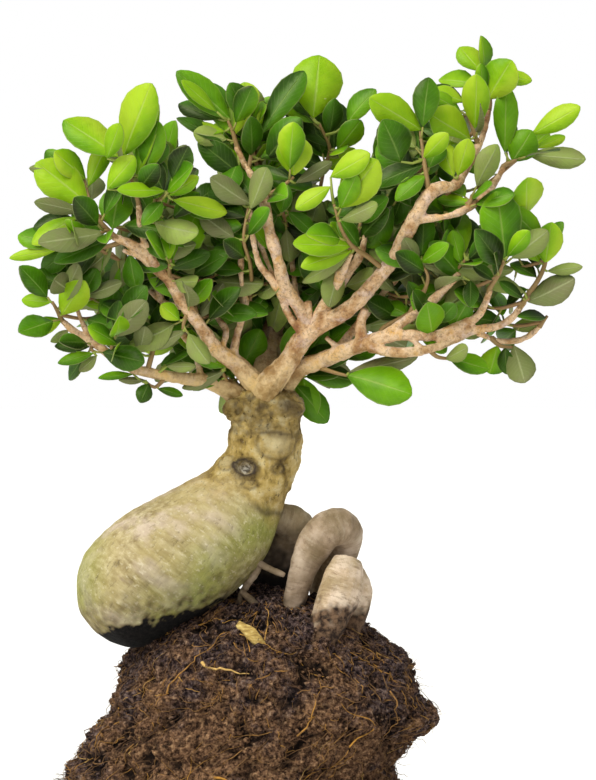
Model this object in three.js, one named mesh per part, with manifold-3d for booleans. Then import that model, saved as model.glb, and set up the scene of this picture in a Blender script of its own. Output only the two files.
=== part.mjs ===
// Fig bonsai with a swollen root, standing in a plain oval stoneware pot.
// Millimetres, +Z up, +X to the right seen from the front, the front faces -Y.
import * as THREE from "three";
import { mergeVertices } from "three/addons/utils/BufferGeometryUtils.js";
import Module from "manifold-3d";

const wasm = await Module();
wasm.setup();

// ---- driving dimensions ----
const GAP = 0.4; // clear space kept between touching pieces
const SIMPLIFY = 0.12; // cut edges closer than this are merged, well inside GAP
const POT_HEIGHT = 78;
const POT_RIM_RADIUS = 145; // half the length of the rim
const POT_WALL = 9;
const POT_DEPTH_RATIO = 0.76; // width of the oval over its length
const POT_FLOOR = 12;
const DRAIN_RADIUS = 8;
const DRAIN_OFFSET = 62; // each drain hole from the middle, along X
const SOIL_BELOW_RIM = 6;
const TREE_BASE = POT_HEIGHT + 16; // height that the tree's own points are measured from
const LEAF_THICKNESS = 0.9;
const LEAF_TILT_BACK = 0.45; // how far an outer leaf's face looks up
const LEAF_DEPTH_SPREAD = 34; // how far front leaves fan towards and away from the front
const FILL_LEAF_LENGTH = 36;
const GOLDEN_ANGLE = Math.PI * (3 - Math.sqrt(5));

// ---- the tree's points: [x, y, z, radius], z above TREE_BASE ----
const SWOLLEN_ROOT_AND_TRUNK = [
  [-101, -12, 105, 8], [-97, -12, 108, 19], [-90, -12, 113, 30], [-81, -13, 120, 37], [-70, -13, 130, 40.5],
  [-55, -13, 142, 42], [-38, -11, 151, 41.5], [-22, -8, 162, 39.5], [-9, -5, 175, 35.5], [1, -3, 188, 30],
  [8, -1, 200, 26], [14, 0, 213, 24], [17, 0, 230, 24.5], [17, 0, 247, 24],
  [17, 0, 257, 20.5], [17, 0, 264, 12],
];
const STUBS = [
  [[6, -6, 243, 11], [-1, -13, 247, 10], [-3, -16, 249, 7]],
  [[22, -8, 245, 14], [31, -11, 251, 12], [34, -13, 255, 8]],
];
const ROOTS = {
  back_root: [
    [24, 8, 176, 9], [36, 14, 168, 13.5], [34, 21, 153, 18.5], [24, 27, 130, 22], [22, 28, 98, 18],
  ],
  looped_root: [
    [34, -14, 96, 8], [36, -15, 118, 7.2], [38, -15, 128, 8], [42, -16, 141, 9.4], [48, -16, 155, 11.8],
    [57, -15, 167, 12.9], [66.5, -12, 169.5, 12.8], [71, -6, 164, 11], [68, 5, 151, 10.5], [60, 13, 130, 13],
    [56, 16, 99, 11],
  ],
  front_root: [
    [72, -24, 149, 9], [70, -27, 140, 13], [66, -31, 127, 14.5], [60, -36, 112, 12.5], [52, -40, 90, 11],
  ],
};
const FRONT_ROOT_LOBE = [[76, -22, 140, 7], [80, -19, 128, 8.5], [77, -18, 113, 8], [72, -20, 98, 7]];
const ROOTLETS = [
  [[6, -14, 149, 2.2], [13, -15, 145.5, 2.4], [21, -15, 141, 2.3], [30, -14, 137, 2]],
  [[14, -12, 146, 2.6], [9, -13, 137, 2.8], [3, -14, 128, 2.6], [-2, -15, 116, 2.2]],
  [[1, -17, 127, 2.2], [7, -20, 122, 2.1], [13, -22, 117, 1.7]],
];
const BARK_CHIP = { at: [12, -59, 100], size: [25, 8, 3.2], turn: [0.9, 0.75, 0.1] };

// A limb is its own line of points, with the side branches that leave it.
const LIMBS = {
  right_high_limb: [
    [[16, -14, 255, 9], [18, -15, 262, 10], [31, -13, 278, 7.5], [45, -18, 298, 6.5], [72, -31, 315, 5.5],
      [93, -31, 337, 5], [103, -34, 351, 5], [117, -46, 379, 5], [128, -42, 394, 4.5], [141, -34, 396, 3.5],
      [149, -22, 407, 3.5], [156, -12, 419, 3], [161, -7, 429, 2.6], [166, -3, 449, 2]],
    [[117, -45, 375, 3.5], [135, -46, 376, 2.6], [149, -40, 381, 2.6], [163, -25, 391, 2.6],
      [171, -14, 401, 2.3], [175, -7, 408, 2]],
    [[48, -20, 303, 4.2], [54, -23, 311, 3.6], [62, -24, 323, 3.4], [71, -24, 337, 3.2], [80, -24, 351, 2.6],
      [83, -22, 364, 2]],
    [[50, -22, 307, 3.6], [57, -28, 321, 3.2], [65, -33, 333, 3.2], [67, -36, 341, 3.4]],
    [[64, -32, 331, 2.6], [70, -38, 344, 2.4], [74, -42, 352, 2]],
  ],
  middle_limb: [
    [[46, -19, 300, 4.5], [41, -23, 313, 4.5], [31, -32, 329, 4.5], [25, -43, 349, 4], [21, -46, 364, 4],
      [18, -36, 379, 3.5], [14, -22, 394, 3], [3, -13, 411, 2.3], [-2, -12, 422, 2]],
    [[42, -19, 296, 2.8], [32, -22, 312, 2.4], [24, -32, 330, 2.4], [13, -38, 346, 2.2], [9, -40, 362, 2],
      [7, -30, 380, 1.6]],
    [[26, -29, 326, 2.2], [20, -24, 341, 2], [14, -22, 360, 1.9], [14, -20, 381, 1.6]],
    [[42, -16, 304, 2.6], [37, -6, 326, 2.2], [35, -2, 344, 2], [33, 2, 360, 1.7]],
    [[46, -20, 303, 3.2], [46, -23, 312, 2.6], [45.5, -25, 320, 2.3]],
  ],
  left_high_limb: [
    [[14, -10, 260, 8], [1, -12, 275, 6.5], [-15, -20, 288, 5.5], [-25, -30, 303, 4.5], [-34, -34, 315, 4.5],
      [-48, -34, 336, 4], [-58, -33, 349, 4], [-69, -35, 357, 3.5], [-83, -39, 363, 2.3]],
    [[-59, -33, 351, 3], [-64, -38, 365, 2.3], [-66, -45, 384, 2]],
    [[-52, -32, 338, 2.6], [-64, -33, 348, 2], [-77, -36, 354, 1.6]],
    [[-5, -13, 280, 3.4], [-1, -11, 300, 2.9], [4, -16, 318, 2.6], [1, -20, 334, 2.2], [1, -24, 350, 2],
      [0, -26, 364, 1.7]],
    [[3, -14, 314, 2.2], [-1, -8, 338, 2], [-8, -4, 357, 1.8], [-12, 0, 372, 1.5]],
    [[-12, -18, 288, 2.6], [-9, -13, 300, 2.2], [-15, -8, 308, 2], [-22, -4, 316, 1.6]],
    [[-36, -32, 316, 2.8], [-50, -18, 319, 2.2], [-62, -14, 329, 2], [-73, -14, 339, 1.8],
      [-85, -10, 352, 1.5]],
    [[-51, -17, 320, 2], [-57, -22, 334, 2], [-59, -32, 347, 2.2]],
  ],
  left_low_limb: [
    [[0, -1, 256, 8], [-18, -6, 265, 6], [-35, -14, 268, 4.5], [-51, -23, 271, 3.5], [-71, -30, 276, 3.5],
      [-83, -29, 283, 3.5], [-94, -26, 291, 3], [-105, -22, 297, 2.6], [-117, -25, 307, 2]],
    [[-96, -24, 292, 2.3], [-103, -23, 304, 2], [-109, -27, 320, 1.6]],
    [[-26, -10, 267, 2.6], [-29, -8, 284, 2.2], [-39, -4, 299, 2], [-52, 2, 312, 1.6]],
  ],
  back_limb: [
    [[17, 6, 258, 10.5], [18, 16, 276, 10], [20, 26, 292, 8.5], [24, 36, 308, 6.5], [30, 44, 330, 5],
      [35, 50, 360, 4], [42, 50, 384, 2.6]],
    [[19, 22, 286, 4], [4, 26, 302, 3], [-2, 30, 316, 2.4], [-8, 30, 332, 2]],
    [[22, 20, 284, 4], [36, 24, 300, 3], [44, 26, 316, 2.4]],
  ],
  right_low_limb: [
    [[28, 0, 262, 8], [40, -5, 275, 6.5], [52, -10, 279, 6], [67, -20, 286, 5.5], [83, -29, 292, 5],
      [98, -34, 297, 4.5], [111, -36, 298, 4], [127, -32, 297, 3.5], [142, -27, 302, 3.5],
      [151, -25, 306, 3.5], [159, -27, 312, 2.6], [165, -37, 328, 2]],
    [[86, -32, 290, 3.5], [100, -38, 287, 3.5], [113, -40, 287, 3.5], [129, -35, 290, 3], [144, -28, 296, 3],
      [155, -26, 301, 3], [170, -22, 303, 2.6], [180, -24, 309, 2.3], [188, -29, 320, 2]],
    [[157, -23, 299, 2.3], [173, -13, 293, 2], [187, -10, 294, 2], [195, -12, 299, 1.6],
      [201, -13, 305, 1.3]],
    [[96, -34, 297, 3.6], [110, -32, 308, 3.2], [122, -31, 316, 3], [136, -33, 329, 2.6],
      [145, -37, 339, 2.2]],
    [[81, -27, 292, 4.2], [80, -27, 306, 3.6], [83, -29, 315, 2.6]],
    [[68, -20, 286, 2.6], [63, -18, 291, 2.1], [57, -18, 296, 1.9]],
    [[149, -25, 305, 2.6], [150, -22, 314, 2.2], [151, -18, 323, 1.8]],
    [[111, -36, 297, 2.4], [116, -38, 293, 2.1], [121, -38, 289, 2.1]],
    [[62, -17, 284, 3.4], [80, -8, 306, 2.6], [92, -10, 321, 2.3], [104, -14, 334, 2], [118, -20, 343, 1.6]],
  ],
};

// Half-widths of the root ball to the left and right, and front to back, by height.
const ROOT_BALL = [
  { z: -22, left: -118, right: 112, half: 86 },
  { z: 8, left: -114, right: 102, half: 84 },
  { z: 24, left: -106, right: 114, half: 82 },
  { z: 42, left: -90, right: 131, half: 80 },
  { z: 60, left: -85, right: 122, half: 76 },
  { z: 83, left: -74, right: 108, half: 68 },
  { z: 103, left: -58, right: 84, half: 54 },
  { z: 116, left: -28, right: 62, half: 34 },
];
const ROOT_BALL_TOP = [16, 0, 121];

// ---- leafy sprays ----
// name, stem points [x, y, z], leaves [base x, base z, tip x, tip z, width over length, tone],
// number of further leaves set round the stem by rule. Tone: 0 dark, 1 green, 2 young,
// 3 and 4 show their paler underside.
const SPRAYS = [
  // left side, top to bottom
  ["top_left_spray", [[-66, -44, 385], [-70, -47, 400], [-73, -43, 414]],
    [[-75, 416, -58, 461, 0.5, 2], [-79, 415, -114, 439, 0.55, 2], [-86, 414, -78, 436, 0.5, 2],
     [-67, 401, -54, 449, 0.25, 1], [-60, 406, -53, 437, 0.6, 1], [-86, 394, -69, 415, 0.6, 2]], 1],
  ["left_shoulder_spray", [[-83, -39, 364], [-92, -44, 374], [-98, -39, 386], [-102, -30, 400]],
    [[-99, 384, -132, 411, 0.6, 2], [-101, 401, -120, 418, 0.6, 2], [-108, 408, -137, 407, 0.35, 3],
     [-102, 379, -133, 385, 0.3, 3], [-106, 376, -135, 359, 0.4, 2], [-99, 396, -88, 424, 0.4, 2],
     [-104, 372, -135, 369, 0.5, 0]], 1],
  ["left_front_spray", [[-83, -39, 364], [-87, -46, 367], [-90, -50, 366]],
    [[-83, 368, -79, 395, 0.75, 1], [-87, 366, -129, 357, 0.42, 3], [-85, 361, -119, 348, 0.4, 0]], 1],
  ["left_edge_spray", [[-76, -37, 361], [-84, -35, 357], [-100, -38, 355], [-118, -42, 355]],
    [[-118, 355, -150, 349, 0.22, 2], [-83, 357, -98, 341, 0.55, 4], [-104, 356, -126, 372, 0.5, 0],
     [-110, 355, -130, 340, 0.5, 0], [-96, 356, -112, 371, 0.5, 1]], 1],
  ["left_inner_spray", [[-65, -41, 372], [-56, -48, 382], [-47, -52, 391]],
    [[-43, 401, -33, 421, 0.6, 0], [-49, 393, -58, 411, 0.7, 0], [-48, 393, -78, 394, 0.35, 2],
     [-45, 390, -27, 402, 0.4, 2], [-43, 387, -9, 379, 0.36, 2], [-50, 386, -62, 372, 0.5, 1]], 1],
  ["left_limb_spray", [[-46, -34, 333], [-46, -38, 341], [-45, -42, 348]],
    [[-46, 347, -55, 367, 0.8, 1], [-43, 344, -27, 381, 0.5, 1], [-44, 342, -20, 352, 0.45, 0]], 1],
  ["far_left_spray", [[-109, -28, 321], [-110, -33, 328], [-107, -35, 334]],
    [[-113, 333, -114, 353, 0.85, 0], [-113, 330, -136, 338, 0.55, 0], [-102, 325, -94, 341, 0.8, 0],
     [-101, 324, -77, 332, 0.42, 3], [-102, 318, -88, 318, 0.5, 2]], 1],
  ["low_left_tip_spray", [[-117, -25, 307], [-120, -32, 314], [-123, -37, 320]],
    [[-117, 311, -102, 333, 0.6, 2], [-123, 320, -143, 321, 0.4, 2], [-117, 308, -137, 301, 0.5, 2],
     [-113, 301, -124, 293, 0.5, 4]], 1],
  ["low_left_under_spray", [[-96, -25, 292], [-98, -27, 289], [-96, -31, 287]],
    [[-99, 290, -121, 291, 0.42, 0], [-96, 286, -119, 280, 0.34, 1], [-94, 284, -105, 274, 0.5, 4]], 1],
  ["low_left_twig_spray", [[-83, -29, 284], [-84, -35, 290], [-81, -39, 298]],
    [[-81, 297, -61, 321, 0.5, 3], [-83, 293, -79, 320, 0.4, 0], [-80, 292, -97, 304, 0.5, 1],
     [-78, 308, -62, 330, 0.6, 0]], 1],
  ["low_left_loop_spray", [[-48, -22, 270], [-56, -24, 263], [-61, -28, 266]],
    [[-60, 266, -65, 254, 0.75, 0], [-54, 262, -38, 258, 0.4, 0], [-62, 268, -79, 268, 0.3, 3],
     [-70, 272, -92, 270, 0.25, 1]], 0],
  ["left_hollow_spray", [[-60, -27, 274], [-58, -27, 284], [-56, -23, 294], [-60, 10, 306]],
    [[-55, 289, -69, 306, 0.6, 0], [-66, 286, -62, 304, 0.6, 3], [-49, 278, -32, 288, 0.25, 0],
     [-48, 277, -29, 277, 0.35, 4], [-58, 300, -46, 318, 0.6, 0], [-62, 306, -78, 318, 0.55, 0]], 2],
  ["left_fork_spray", [[-33, -34, 313], [-36, -38, 308], [-37, -40, 302]],
    [[-35, 301, -57, 290, 0.36, 3], [-39, 308, -51, 318, 0.7, 2]], 1],
  ["trunk_side_spray", [[-6, -2, 262], [-10, -9, 269], [-12, -13, 274]],
    [[-9, 274, -37, 262, 0.3, 3], [-12, 268, -29, 264, 0.4, 0], [-9, 276, -30, 284, 0.45, 1]], 0],
  ["left_middle_spray", [[-23, -27, 300], [-27, -29, 309], [-30, -27, 320]],
    [[-27, 309, -11, 331, 0.42, 3], [-32, 318, -19, 334, 0.42, 1], [-30, 318, -38, 336, 0.5, 0]], 1],
  ["upright_spray", [[-5, -5, 281], [0, -3, 300], [7, -9, 322], [7, -31, 345], [3, -42, 361], [6, -33, 382]],
    [[8, 384, -19, 400, 0.5, 3], [-3, 362, -25, 377, 0.5, 3], [-3, 319, -20, 322, 0.5, 2],
     [-3, 306, -27, 313, 0.5, 1], [4, 314, 16, 326, 0.5, 0], [4, 350, -16, 356, 0.5, 0],
     [2, 340, -18, 342, 0.5, 0], [6, 372, 20, 356, 0.4, 1]], 2],
  // middle of the crown
  ["upper_middle_spray", [[-2, -12, 423], [-4, -12, 430], [-8, -12, 440]],
    [[-4, 429, -6, 458, 0.85, 2], [-6, 440, -40, 471, 0.4, 1], [-15, 445, -37, 465, 0.3, 2],
     [-14, 440, -40, 451, 0.42, 0], [-10, 432, -31, 435, 0.4, 2], [-6, 424, -40, 441, 0.28, 0],
     [0, 404, -26, 425, 0.5, 0]], 1],
  ["peak_spray", [[5, -14, 407], [9, -5, 422], [12, -3, 436]],
    [[6, 441, 3, 464, 0.75, 2], [8, 416, 8, 440, 0.5, 0], [15, 431, 41, 472, 0.38, 0],
     [18, 414, 39, 440, 0.6, 0], [10, 436, 22, 450, 0.4, 2]], 1],
  ["middle_twig_spray", [[17, -25, 390], [26, -27, 394], [36, -27, 402]],
    [[36, 403, 37, 428, 0.95, 2], [37, 398, 60, 411, 0.32, 3], [34, 401, 9, 408, 0.3, 0],
     [32, 397, 28, 380, 0.5, 1]], 1],
  ["top_spray", [[42, 50, 385], [54, 36, 405], [60, 24, 420], [53, 14, 437]],
    [[49, 441, 53, 482, 0.75, 2], [63, 421, 63, 453, 0.7, 0], [72, 438, 89, 460, 0.55, 1],
     [65, 420, 80, 438, 0.6, 1], [61, 422, 31, 447, 0.36, 0], [47, 442, 33, 456, 0.42, 0],
     [66, 415, 46, 427, 0.5, 0], [56, 408, 36, 418, 0.5, 0]], 2],
  ["inner_twig_spray", [[96, -32, 342], [84, -38, 350], [74, -46, 357], [67, -53, 368], [62, -54, 385]],
    [[66, 382, 89, 412, 0.58, 2], [60, 402, 84, 417, 0.5, 2], [60, 396, 38, 382, 0.45, 2],
     [67, 374, 90, 384, 0.42, 4], [74, 357, 37, 359, 0.46, 2], [74, 354, 42, 344, 0.34, 2],
     [73, 352, 43, 333, 0.25, 4]], 1],
  ["inner_right_spray", [[50, -14, 305], [60, -13, 319], [70, -13, 337], [76, -16, 356], [80, -25, 372]],
    [[80, 372, 96, 388, 0.5, 0], [76, 360, 60, 374, 0.5, 0], [70, 345, 56, 352, 0.5, 1],
     [79, 368, 66, 390, 0.5, 0], [66, 330, 56, 342, 0.45, 0]], 2],
  // right side, top to bottom
  ["right_stub_spray", [[124, -44, 394], [122, -42, 408], [120, -35, 424], [119, -29, 432]],
    [[120, 433, 87, 453, 0.5, 2], [119, 420, 101, 417, 0.62, 4], [106, 412, 96, 438, 0.8, 0],
     [121, 410, 87, 397, 0.36, 0], [122, 403, 103, 388, 0.5, 1], [121, 414, 136, 430, 0.5, 2]], 1],
  ["right_low_lime_spray", [[143, -33, 397], [143, -34, 401]],
    [[141, 402, 133, 425, 0.5, 2], [144, 403, 150, 426, 0.5, 2]], 0],
  ["right_tip_spray", [[166, -3, 451], [165, -4, 458], [161, 1, 470]],
    [[160, 472, 147, 488, 0.7, 2], [165, 453, 179, 478, 0.78, 2], [168, 470, 193, 466, 0.4, 2],
     [162, 455, 160, 476, 0.4, 1]], 1],
  ["right_upper_spray", [[158, -10, 424], [155, -11, 432], [150, -12, 446]],
    [[148, 452, 129, 459, 0.6, 2], [156, 434, 156, 468, 0.5, 2], [153, 427, 127, 443, 0.72, 2],
     [148, 446, 134, 436, 0.5, 1], [158, 424, 140, 420, 0.5, 1]], 1],
  ["right_end_spray", [[175, -7, 409], [183, -6, 413], [192, -5, 421]],
    [[181, 412, 193, 432, 0.85, 1], [194, 430, 224, 448, 0.42, 2], [191, 417, 228, 413, 0.38, 4],
     [198, 421, 216, 429, 0.4, 2], [176, 418, 177, 461, 0.36, 1]], 1],
  ["right_branch_spray", [[149, -40, 381], [152, -38, 386], [153, -31, 390]],
    [[153, 388, 164, 398, 0.5, 1], [153, 385, 131, 388, 0.36, 1]], 1],
  ["right_dark_spray", [[165, -38, 329], [171, -44, 339], [174, -47, 348]],
    [[175, 347, 169, 391, 0.58, 1], [172, 345, 156, 366, 0.5, 0], [176, 350, 188, 366, 0.45, 1],
     [168, 334, 154, 344, 0.5, 0]], 1],
  ["right_outer_spray", [[188, -29, 321], [197, -30, 334], [202, -28, 347], [200, -30, 362], [192, -27, 377]],
    [[189, 377, 189, 400, 0.8, 2], [200, 360, 177, 383, 0.42, 1], [202, 345, 205, 371, 0.6, 2],
     [198, 346, 188, 362, 0.7, 2], [203, 340, 225, 343, 0.3, 4], [200, 354, 212, 372, 0.5, 1]], 1],
  ["right_side_spray", [[186, -29, 318], [189, -33, 321], [191, -35, 322]],
    [[190, 320, 220, 334, 0.6, 3], [188, 326, 160, 337, 0.36, 4], [187, 322, 172, 333, 0.4, 0]], 0],
  ["right_middle_spray", [[94, -28, 301], [111, -24, 311], [127, -22, 323], [140, -28, 337], [149, -39, 348]],
    [[151, 348, 164, 362, 0.5, 0], [143, 340, 128, 356, 0.5, 0], [152, 334, 152, 318, 0.6, 0],
     [111, 311, 96, 318, 0.6, 1], [146, 345, 140, 366, 0.5, 1], [120, 318, 112, 332, 0.5, 0]], 2],
  ["long_leaf_spray", [[113, -31, 313], [122, -33, 327], [124, -37, 338], [119, -38, 345]],
    [[118, 345, 178, 340, 0.25, 4], [122, 340, 104, 352, 0.5, 0], [120, 346, 136, 358, 0.45, 1],
     [118, 346, 108, 362, 0.5, 3]], 1],
  ["right_low_spray", [[128, -32, 299], [127, -30, 305], [130, -28, 312]],
    [[127, 299, 124, 318, 0.75, 1], [131, 306, 141, 318, 0.6, 0], [129, 308, 114, 322, 0.5, 0]], 1],
  ["right_far_spray", [[201, -15, 306], [204, -16, 310]],
    [[203, 309, 185, 311, 0.34, 0], [203, 307, 183, 302, 0.4, 4]], 0],
  ["right_hanging_spray", [[166, -18, 296], [173, -13, 290], [182, -10, 289]],
    [[171, 290, 166, 271, 0.8, 1], [182, 290, 189, 266, 0.62, 3], [176, 289, 177, 272, 0.6, 0]], 0],
  ["right_under_spray", [[124, -37, 289], [130, -34, 284], [139, -27, 282]],
    [[139, 282, 164, 276, 0.56, 1], [136, 282, 150, 290, 0.5, 4]], 0],
  ["low_leaf_spray", [[52, -10, 277], [62, -20, 273], [71, -27, 271]],
    [[71, 271, 111, 261, 0.56, 1], [72, 273, 116, 282, 0.25, 3]], 0],
  ["under_fork_spray", [[34, -1, 266], [38, 12, 265], [42, 18, 268]],
    [[42, 267, 48, 241, 0.62, 1], [44, 268, 64, 270, 0.4, 0]], 0],
  // back of the crown: leaves set by rule only
  ["back_left_low_spray", [[-2, 10, 262], [-30, 40, 290], [-62, 60, 306], [-92, 70, 320]], [], 9],
  ["back_left_high_spray", [[2, 12, 264], [-18, 44, 310], [-38, 56, 352], [-52, 42, 404]], [], 10],
  ["back_spray", [[19, 24, 285], [14, 60, 320], [10, 90, 352], [6, 104, 388]], [], 10],
  ["back_top_spray", [[34, 52, 352], [22, 56, 384], [12, 36, 414], [4, 16, 436]], [], 8],
  ["back_right_high_spray", [[28, 46, 322], [62, 66, 352], [92, 56, 384], [114, 32, 414]], [], 10],
  ["back_right_low_spray", [[30, 14, 268], [66, 46, 292], [104, 66, 312], [142, 70, 330]], [], 10],
  ["crown_heart_spray", [[20, 26, 294], [8, 44, 300], [24, 56, 312], [50, 52, 322], [56, 30, 336]], [], 9],
];
const STEM_RADIUS = 1.7;
const STEM_MISS = 1.5; // a stem that starts closer than this to a limb's middle already grows out of it
const STEM_REACH = 14; // and one further away than this grows from another stem
const TONES = ["#24501c", "#3f7f22", "#86c62c", "#6d8a4c", "#a9b98a"];

// ---- small helpers ----
const v3 = (p) => new THREE.Vector3(p[0], p[1], p[2]);
const chance = (i) => {
  const s = Math.sin(i * 12.9898) * 43758.5453;
  return s - Math.floor(s);
};

// A closed geometry as a manifold-3d solid, in the tree's own frame.
function solid(geometry) {
  const bare = geometry.clone();
  bare.deleteAttribute("normal");
  bare.deleteAttribute("uv");
  const merged = mergeVertices(bare, 1e-4);
  return new wasm.Manifold(
    new wasm.Mesh({
      numProp: 3,
      vertProperties: new Float32Array(merged.attributes.position.array),
      triVerts: new Uint32Array(merged.index.array),
    }),
  );
}

// A round bar whose thickness changes along a smooth line through the points.
function taperedBar(points, sides, stepLength, grow = 0) {
  const curve = new THREE.CatmullRomCurve3(points.map(v3), false, "centripetal");
  const radii = new THREE.CatmullRomCurve3(
    points.map((p, i) => new THREE.Vector3(p[3], i, 0)),
    false,
    "centripetal",
  );
  const steps = Math.max(2, Math.round(curve.getLength() / stepLength));
  const geometry = new THREE.CylinderGeometry(1, 1, 1, sides, steps);
  const frames = curve.computeFrenetFrames(steps, false);
  const position = geometry.attributes.position;
  for (let i = 0; i < position.count; i++) {
    const step = Math.round((0.5 - position.getY(i)) * steps);
    const t = step / steps;
    const radius = radii.getPoint(curve.getUtoTmapping(t)).x + grow;
    const at = curve
      .getPointAt(t)
      .addScaledVector(frames.normals[step], position.getX(i) * radius)
      .addScaledVector(frames.binormals[step], position.getZ(i) * radius);
    position.setXYZ(i, at.x, at.y, at.z);
  }
  return facingOut(solid(geometry), geometry);
}

// The same solid with its faces turned round if they point inwards.
function facingOut(made, geometry) {
  if (made.volume() > 0) return made;
  const index = geometry.index.array;
  for (let i = 0; i < index.length; i += 3) [index[i + 1], index[i + 2]] = [index[i + 2], index[i + 1]];
  return solid(geometry);
}

// ---- leaves ----
// A flat blade from base to tip, widest past the middle, facing as nearly as it can along `face`.
function blade(base, tip, widthRatio, face, grow) {
  const along = new THREE.Vector3().subVectors(tip, base);
  const length = along.length();
  along.normalize();
  const up = face.clone().addScaledVector(along, -face.dot(along)).normalize();
  const across = new THREE.Vector3().crossVectors(up, along);
  const half = (length * widthRatio) / 2 + grow;
  const outline = new THREE.Shape([
    new THREE.Vector2(-grow, 0),
    new THREE.Vector2(length * 0.5, -half),
    new THREE.Vector2(length + grow, -half * 0.3),
    new THREE.Vector2(length + grow, half * 0.3),
    new THREE.Vector2(length * 0.5, half),
  ]);
  const thickness = LEAF_THICKNESS + 2 * grow;
  const plate = new THREE.ExtrudeGeometry(outline, { depth: thickness, bevelEnabled: false });
  plate.translate(0, 0, -thickness / 2);
  plate.applyMatrix4(new THREE.Matrix4().makeBasis(along, across, up).setPosition(base));
  return solid(plate);
}

// The point of a stem nearest to a leaf's base, seen from the front.
function nearestOnStem(curve, x, z) {
  const samples = curve.getSpacedPoints(24);
  const away = (p) => Math.hypot(p.x - x, p.z - z);
  return samples.reduce((best, p) => (away(p) < away(best) ? p : best));
}

// Where a front leaf starts, ends and faces, from its two points seen from the front.
function frontLeaf(curve, leaf, seed) {
  const [baseX, baseZ, tipX, tipZ, width] = leaf;
  const root = nearestOnStem(curve, baseX, baseZ);
  const tip = new THREE.Vector3(tipX, root.y + LEAF_DEPTH_SPREAD * (chance(seed) - 0.6), tipZ);
  const face = new THREE.Vector3(0.4 * (chance(seed + 0.5) - 0.5), -1, LEAF_TILT_BACK);
  return { root, tip, width, face };
}

// Where a leaf set by rule starts, ends and faces: they wind round the stem at the golden angle.
function ruledLeaf(curve, k, count, seed) {
  const t = 0.3 + (0.7 * (k + 0.5)) / count;
  const root = curve.getPointAt(t);
  const stem = curve.getTangentAt(t);
  const side = new THREE.Vector3(0, 0, 1).cross(stem).normalize();
  const over = new THREE.Vector3().crossVectors(stem, side);
  const turn = k * GOLDEN_ANGLE + 6 * chance(seed);
  const spread = 1.25 - 0.7 * t;
  const length = FILL_LEAF_LENGTH * (0.8 + 0.35 * chance(seed + k + 0.25));
  const direction = stem
    .clone()
    .multiplyScalar(Math.cos(spread))
    .addScaledVector(side, Math.sin(spread) * Math.cos(turn))
    .addScaledVector(over, Math.sin(spread) * Math.sin(turn));
  direction.z += 0.15;
  const tip = root.clone().addScaledVector(direction.normalize(), length);
  const face = new THREE.Vector3(tip.x / 300, tip.y / 160, 0.75);
  return { root, tip, width: 0.52, face };
}

// A stem that starts beside a limb is led back to the limb's middle, so that it grows out of it.
const limbMiddles = Object.values(LIMBS)
  .flat()
  .flatMap((points) => new THREE.CatmullRomCurve3(points.map(v3), false, "centripetal").getSpacedPoints(40));
function rooted(stemPoints) {
  const start = v3(stemPoints[0]);
  const nearest = limbMiddles.reduce((best, p) => (p.distanceTo(start) < best.distanceTo(start) ? p : best));
  const away = nearest.distanceTo(start);
  return away > STEM_MISS && away < STEM_REACH ? [nearest.toArray(), ...stemPoints] : stemPoints;
}

// A stem with its leaves, as one solid, and the same a little larger to cut its neighbours with.
function spray([, points, leaves, ruled], number, grow) {
  const stemPoints = rooted(points);
  const curve = new THREE.CatmullRomCurve3(stemPoints.map(v3), false, "centripetal");
  const tapered = stemPoints.map((p, i) => [...p, STEM_RADIUS * (1.15 - (0.4 * i) / stemPoints.length)]);
  const parts = [taperedBar(tapered, 4, 22, grow)];
  leaves.forEach((leaf, k) => {
    const { root, tip, width, face } = frontLeaf(curve, leaf, number * 31 + k);
    parts.push(blade(root, tip, width, face, grow));
  });
  for (let k = 0; k < ruled; k++) {
    const { root, tip, width, face } = ruledLeaf(curve, k, ruled, number * 57);
    parts.push(blade(root, tip, width, face, grow));
  }
  return wasm.Manifold.union(parts);
}

// ---- pot, soil and bark chip ----
function pot() {
  const inner = POT_RIM_RADIUS - POT_WALL;
  const foot = POT_RIM_RADIUS * 0.8;
  const profile = [
    [0, 0], [foot, 0], [foot, 6], [foot + 6, 8], [POT_RIM_RADIUS - 6, POT_HEIGHT - 16],
    [POT_RIM_RADIUS - 5, POT_HEIGHT - 12], [POT_RIM_RADIUS, POT_HEIGHT - 10],
    [POT_RIM_RADIUS, POT_HEIGHT - 2],
    [POT_RIM_RADIUS - 2, POT_HEIGHT], [inner + 1, POT_HEIGHT], [inner - 1, POT_HEIGHT - 2],
    [foot - 8, POT_FLOOR + 6], [foot - 16, POT_FLOOR], [0, POT_FLOOR],
  ].map(([r, z]) => new THREE.Vector2(r, z));
  const shell = new THREE.LatheGeometry(profile, 28).rotateX(Math.PI / 2).scale(1, POT_DEPTH_RATIO, 1);
  let made = facingOut(solid(shell), shell);
  for (const x of [-DRAIN_OFFSET, DRAIN_OFFSET]) {
    const drill = new THREE.CylinderGeometry(DRAIN_RADIUS, DRAIN_RADIUS, 3 * POT_FLOOR, 16);
    made = made.subtract(solid(drill.rotateX(Math.PI / 2).translate(x, 0, 0)));
  }
  return made;
}

// The earth that fills the pot, in the pot's frame.
function potFill() {
  const foot = POT_RIM_RADIUS * 0.8;
  const inner = POT_RIM_RADIUS - POT_WALL;
  const profile = [
    [0, POT_FLOOR + GAP], [foot - 16 - GAP, POT_FLOOR + GAP], [foot - 9, POT_FLOOR + 6],
    [inner - 4, POT_HEIGHT - SOIL_BELOW_RIM - 1], [inner - 12, POT_HEIGHT - SOIL_BELOW_RIM],
    [0, POT_HEIGHT - SOIL_BELOW_RIM + 1],
  ].map(([r, z]) => new THREE.Vector2(r, z));
  const fill = new THREE.LatheGeometry(profile, 28).rotateX(Math.PI / 2).scale(1, POT_DEPTH_RATIO, 1);
  return facingOut(solid(fill), fill);
}

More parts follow.
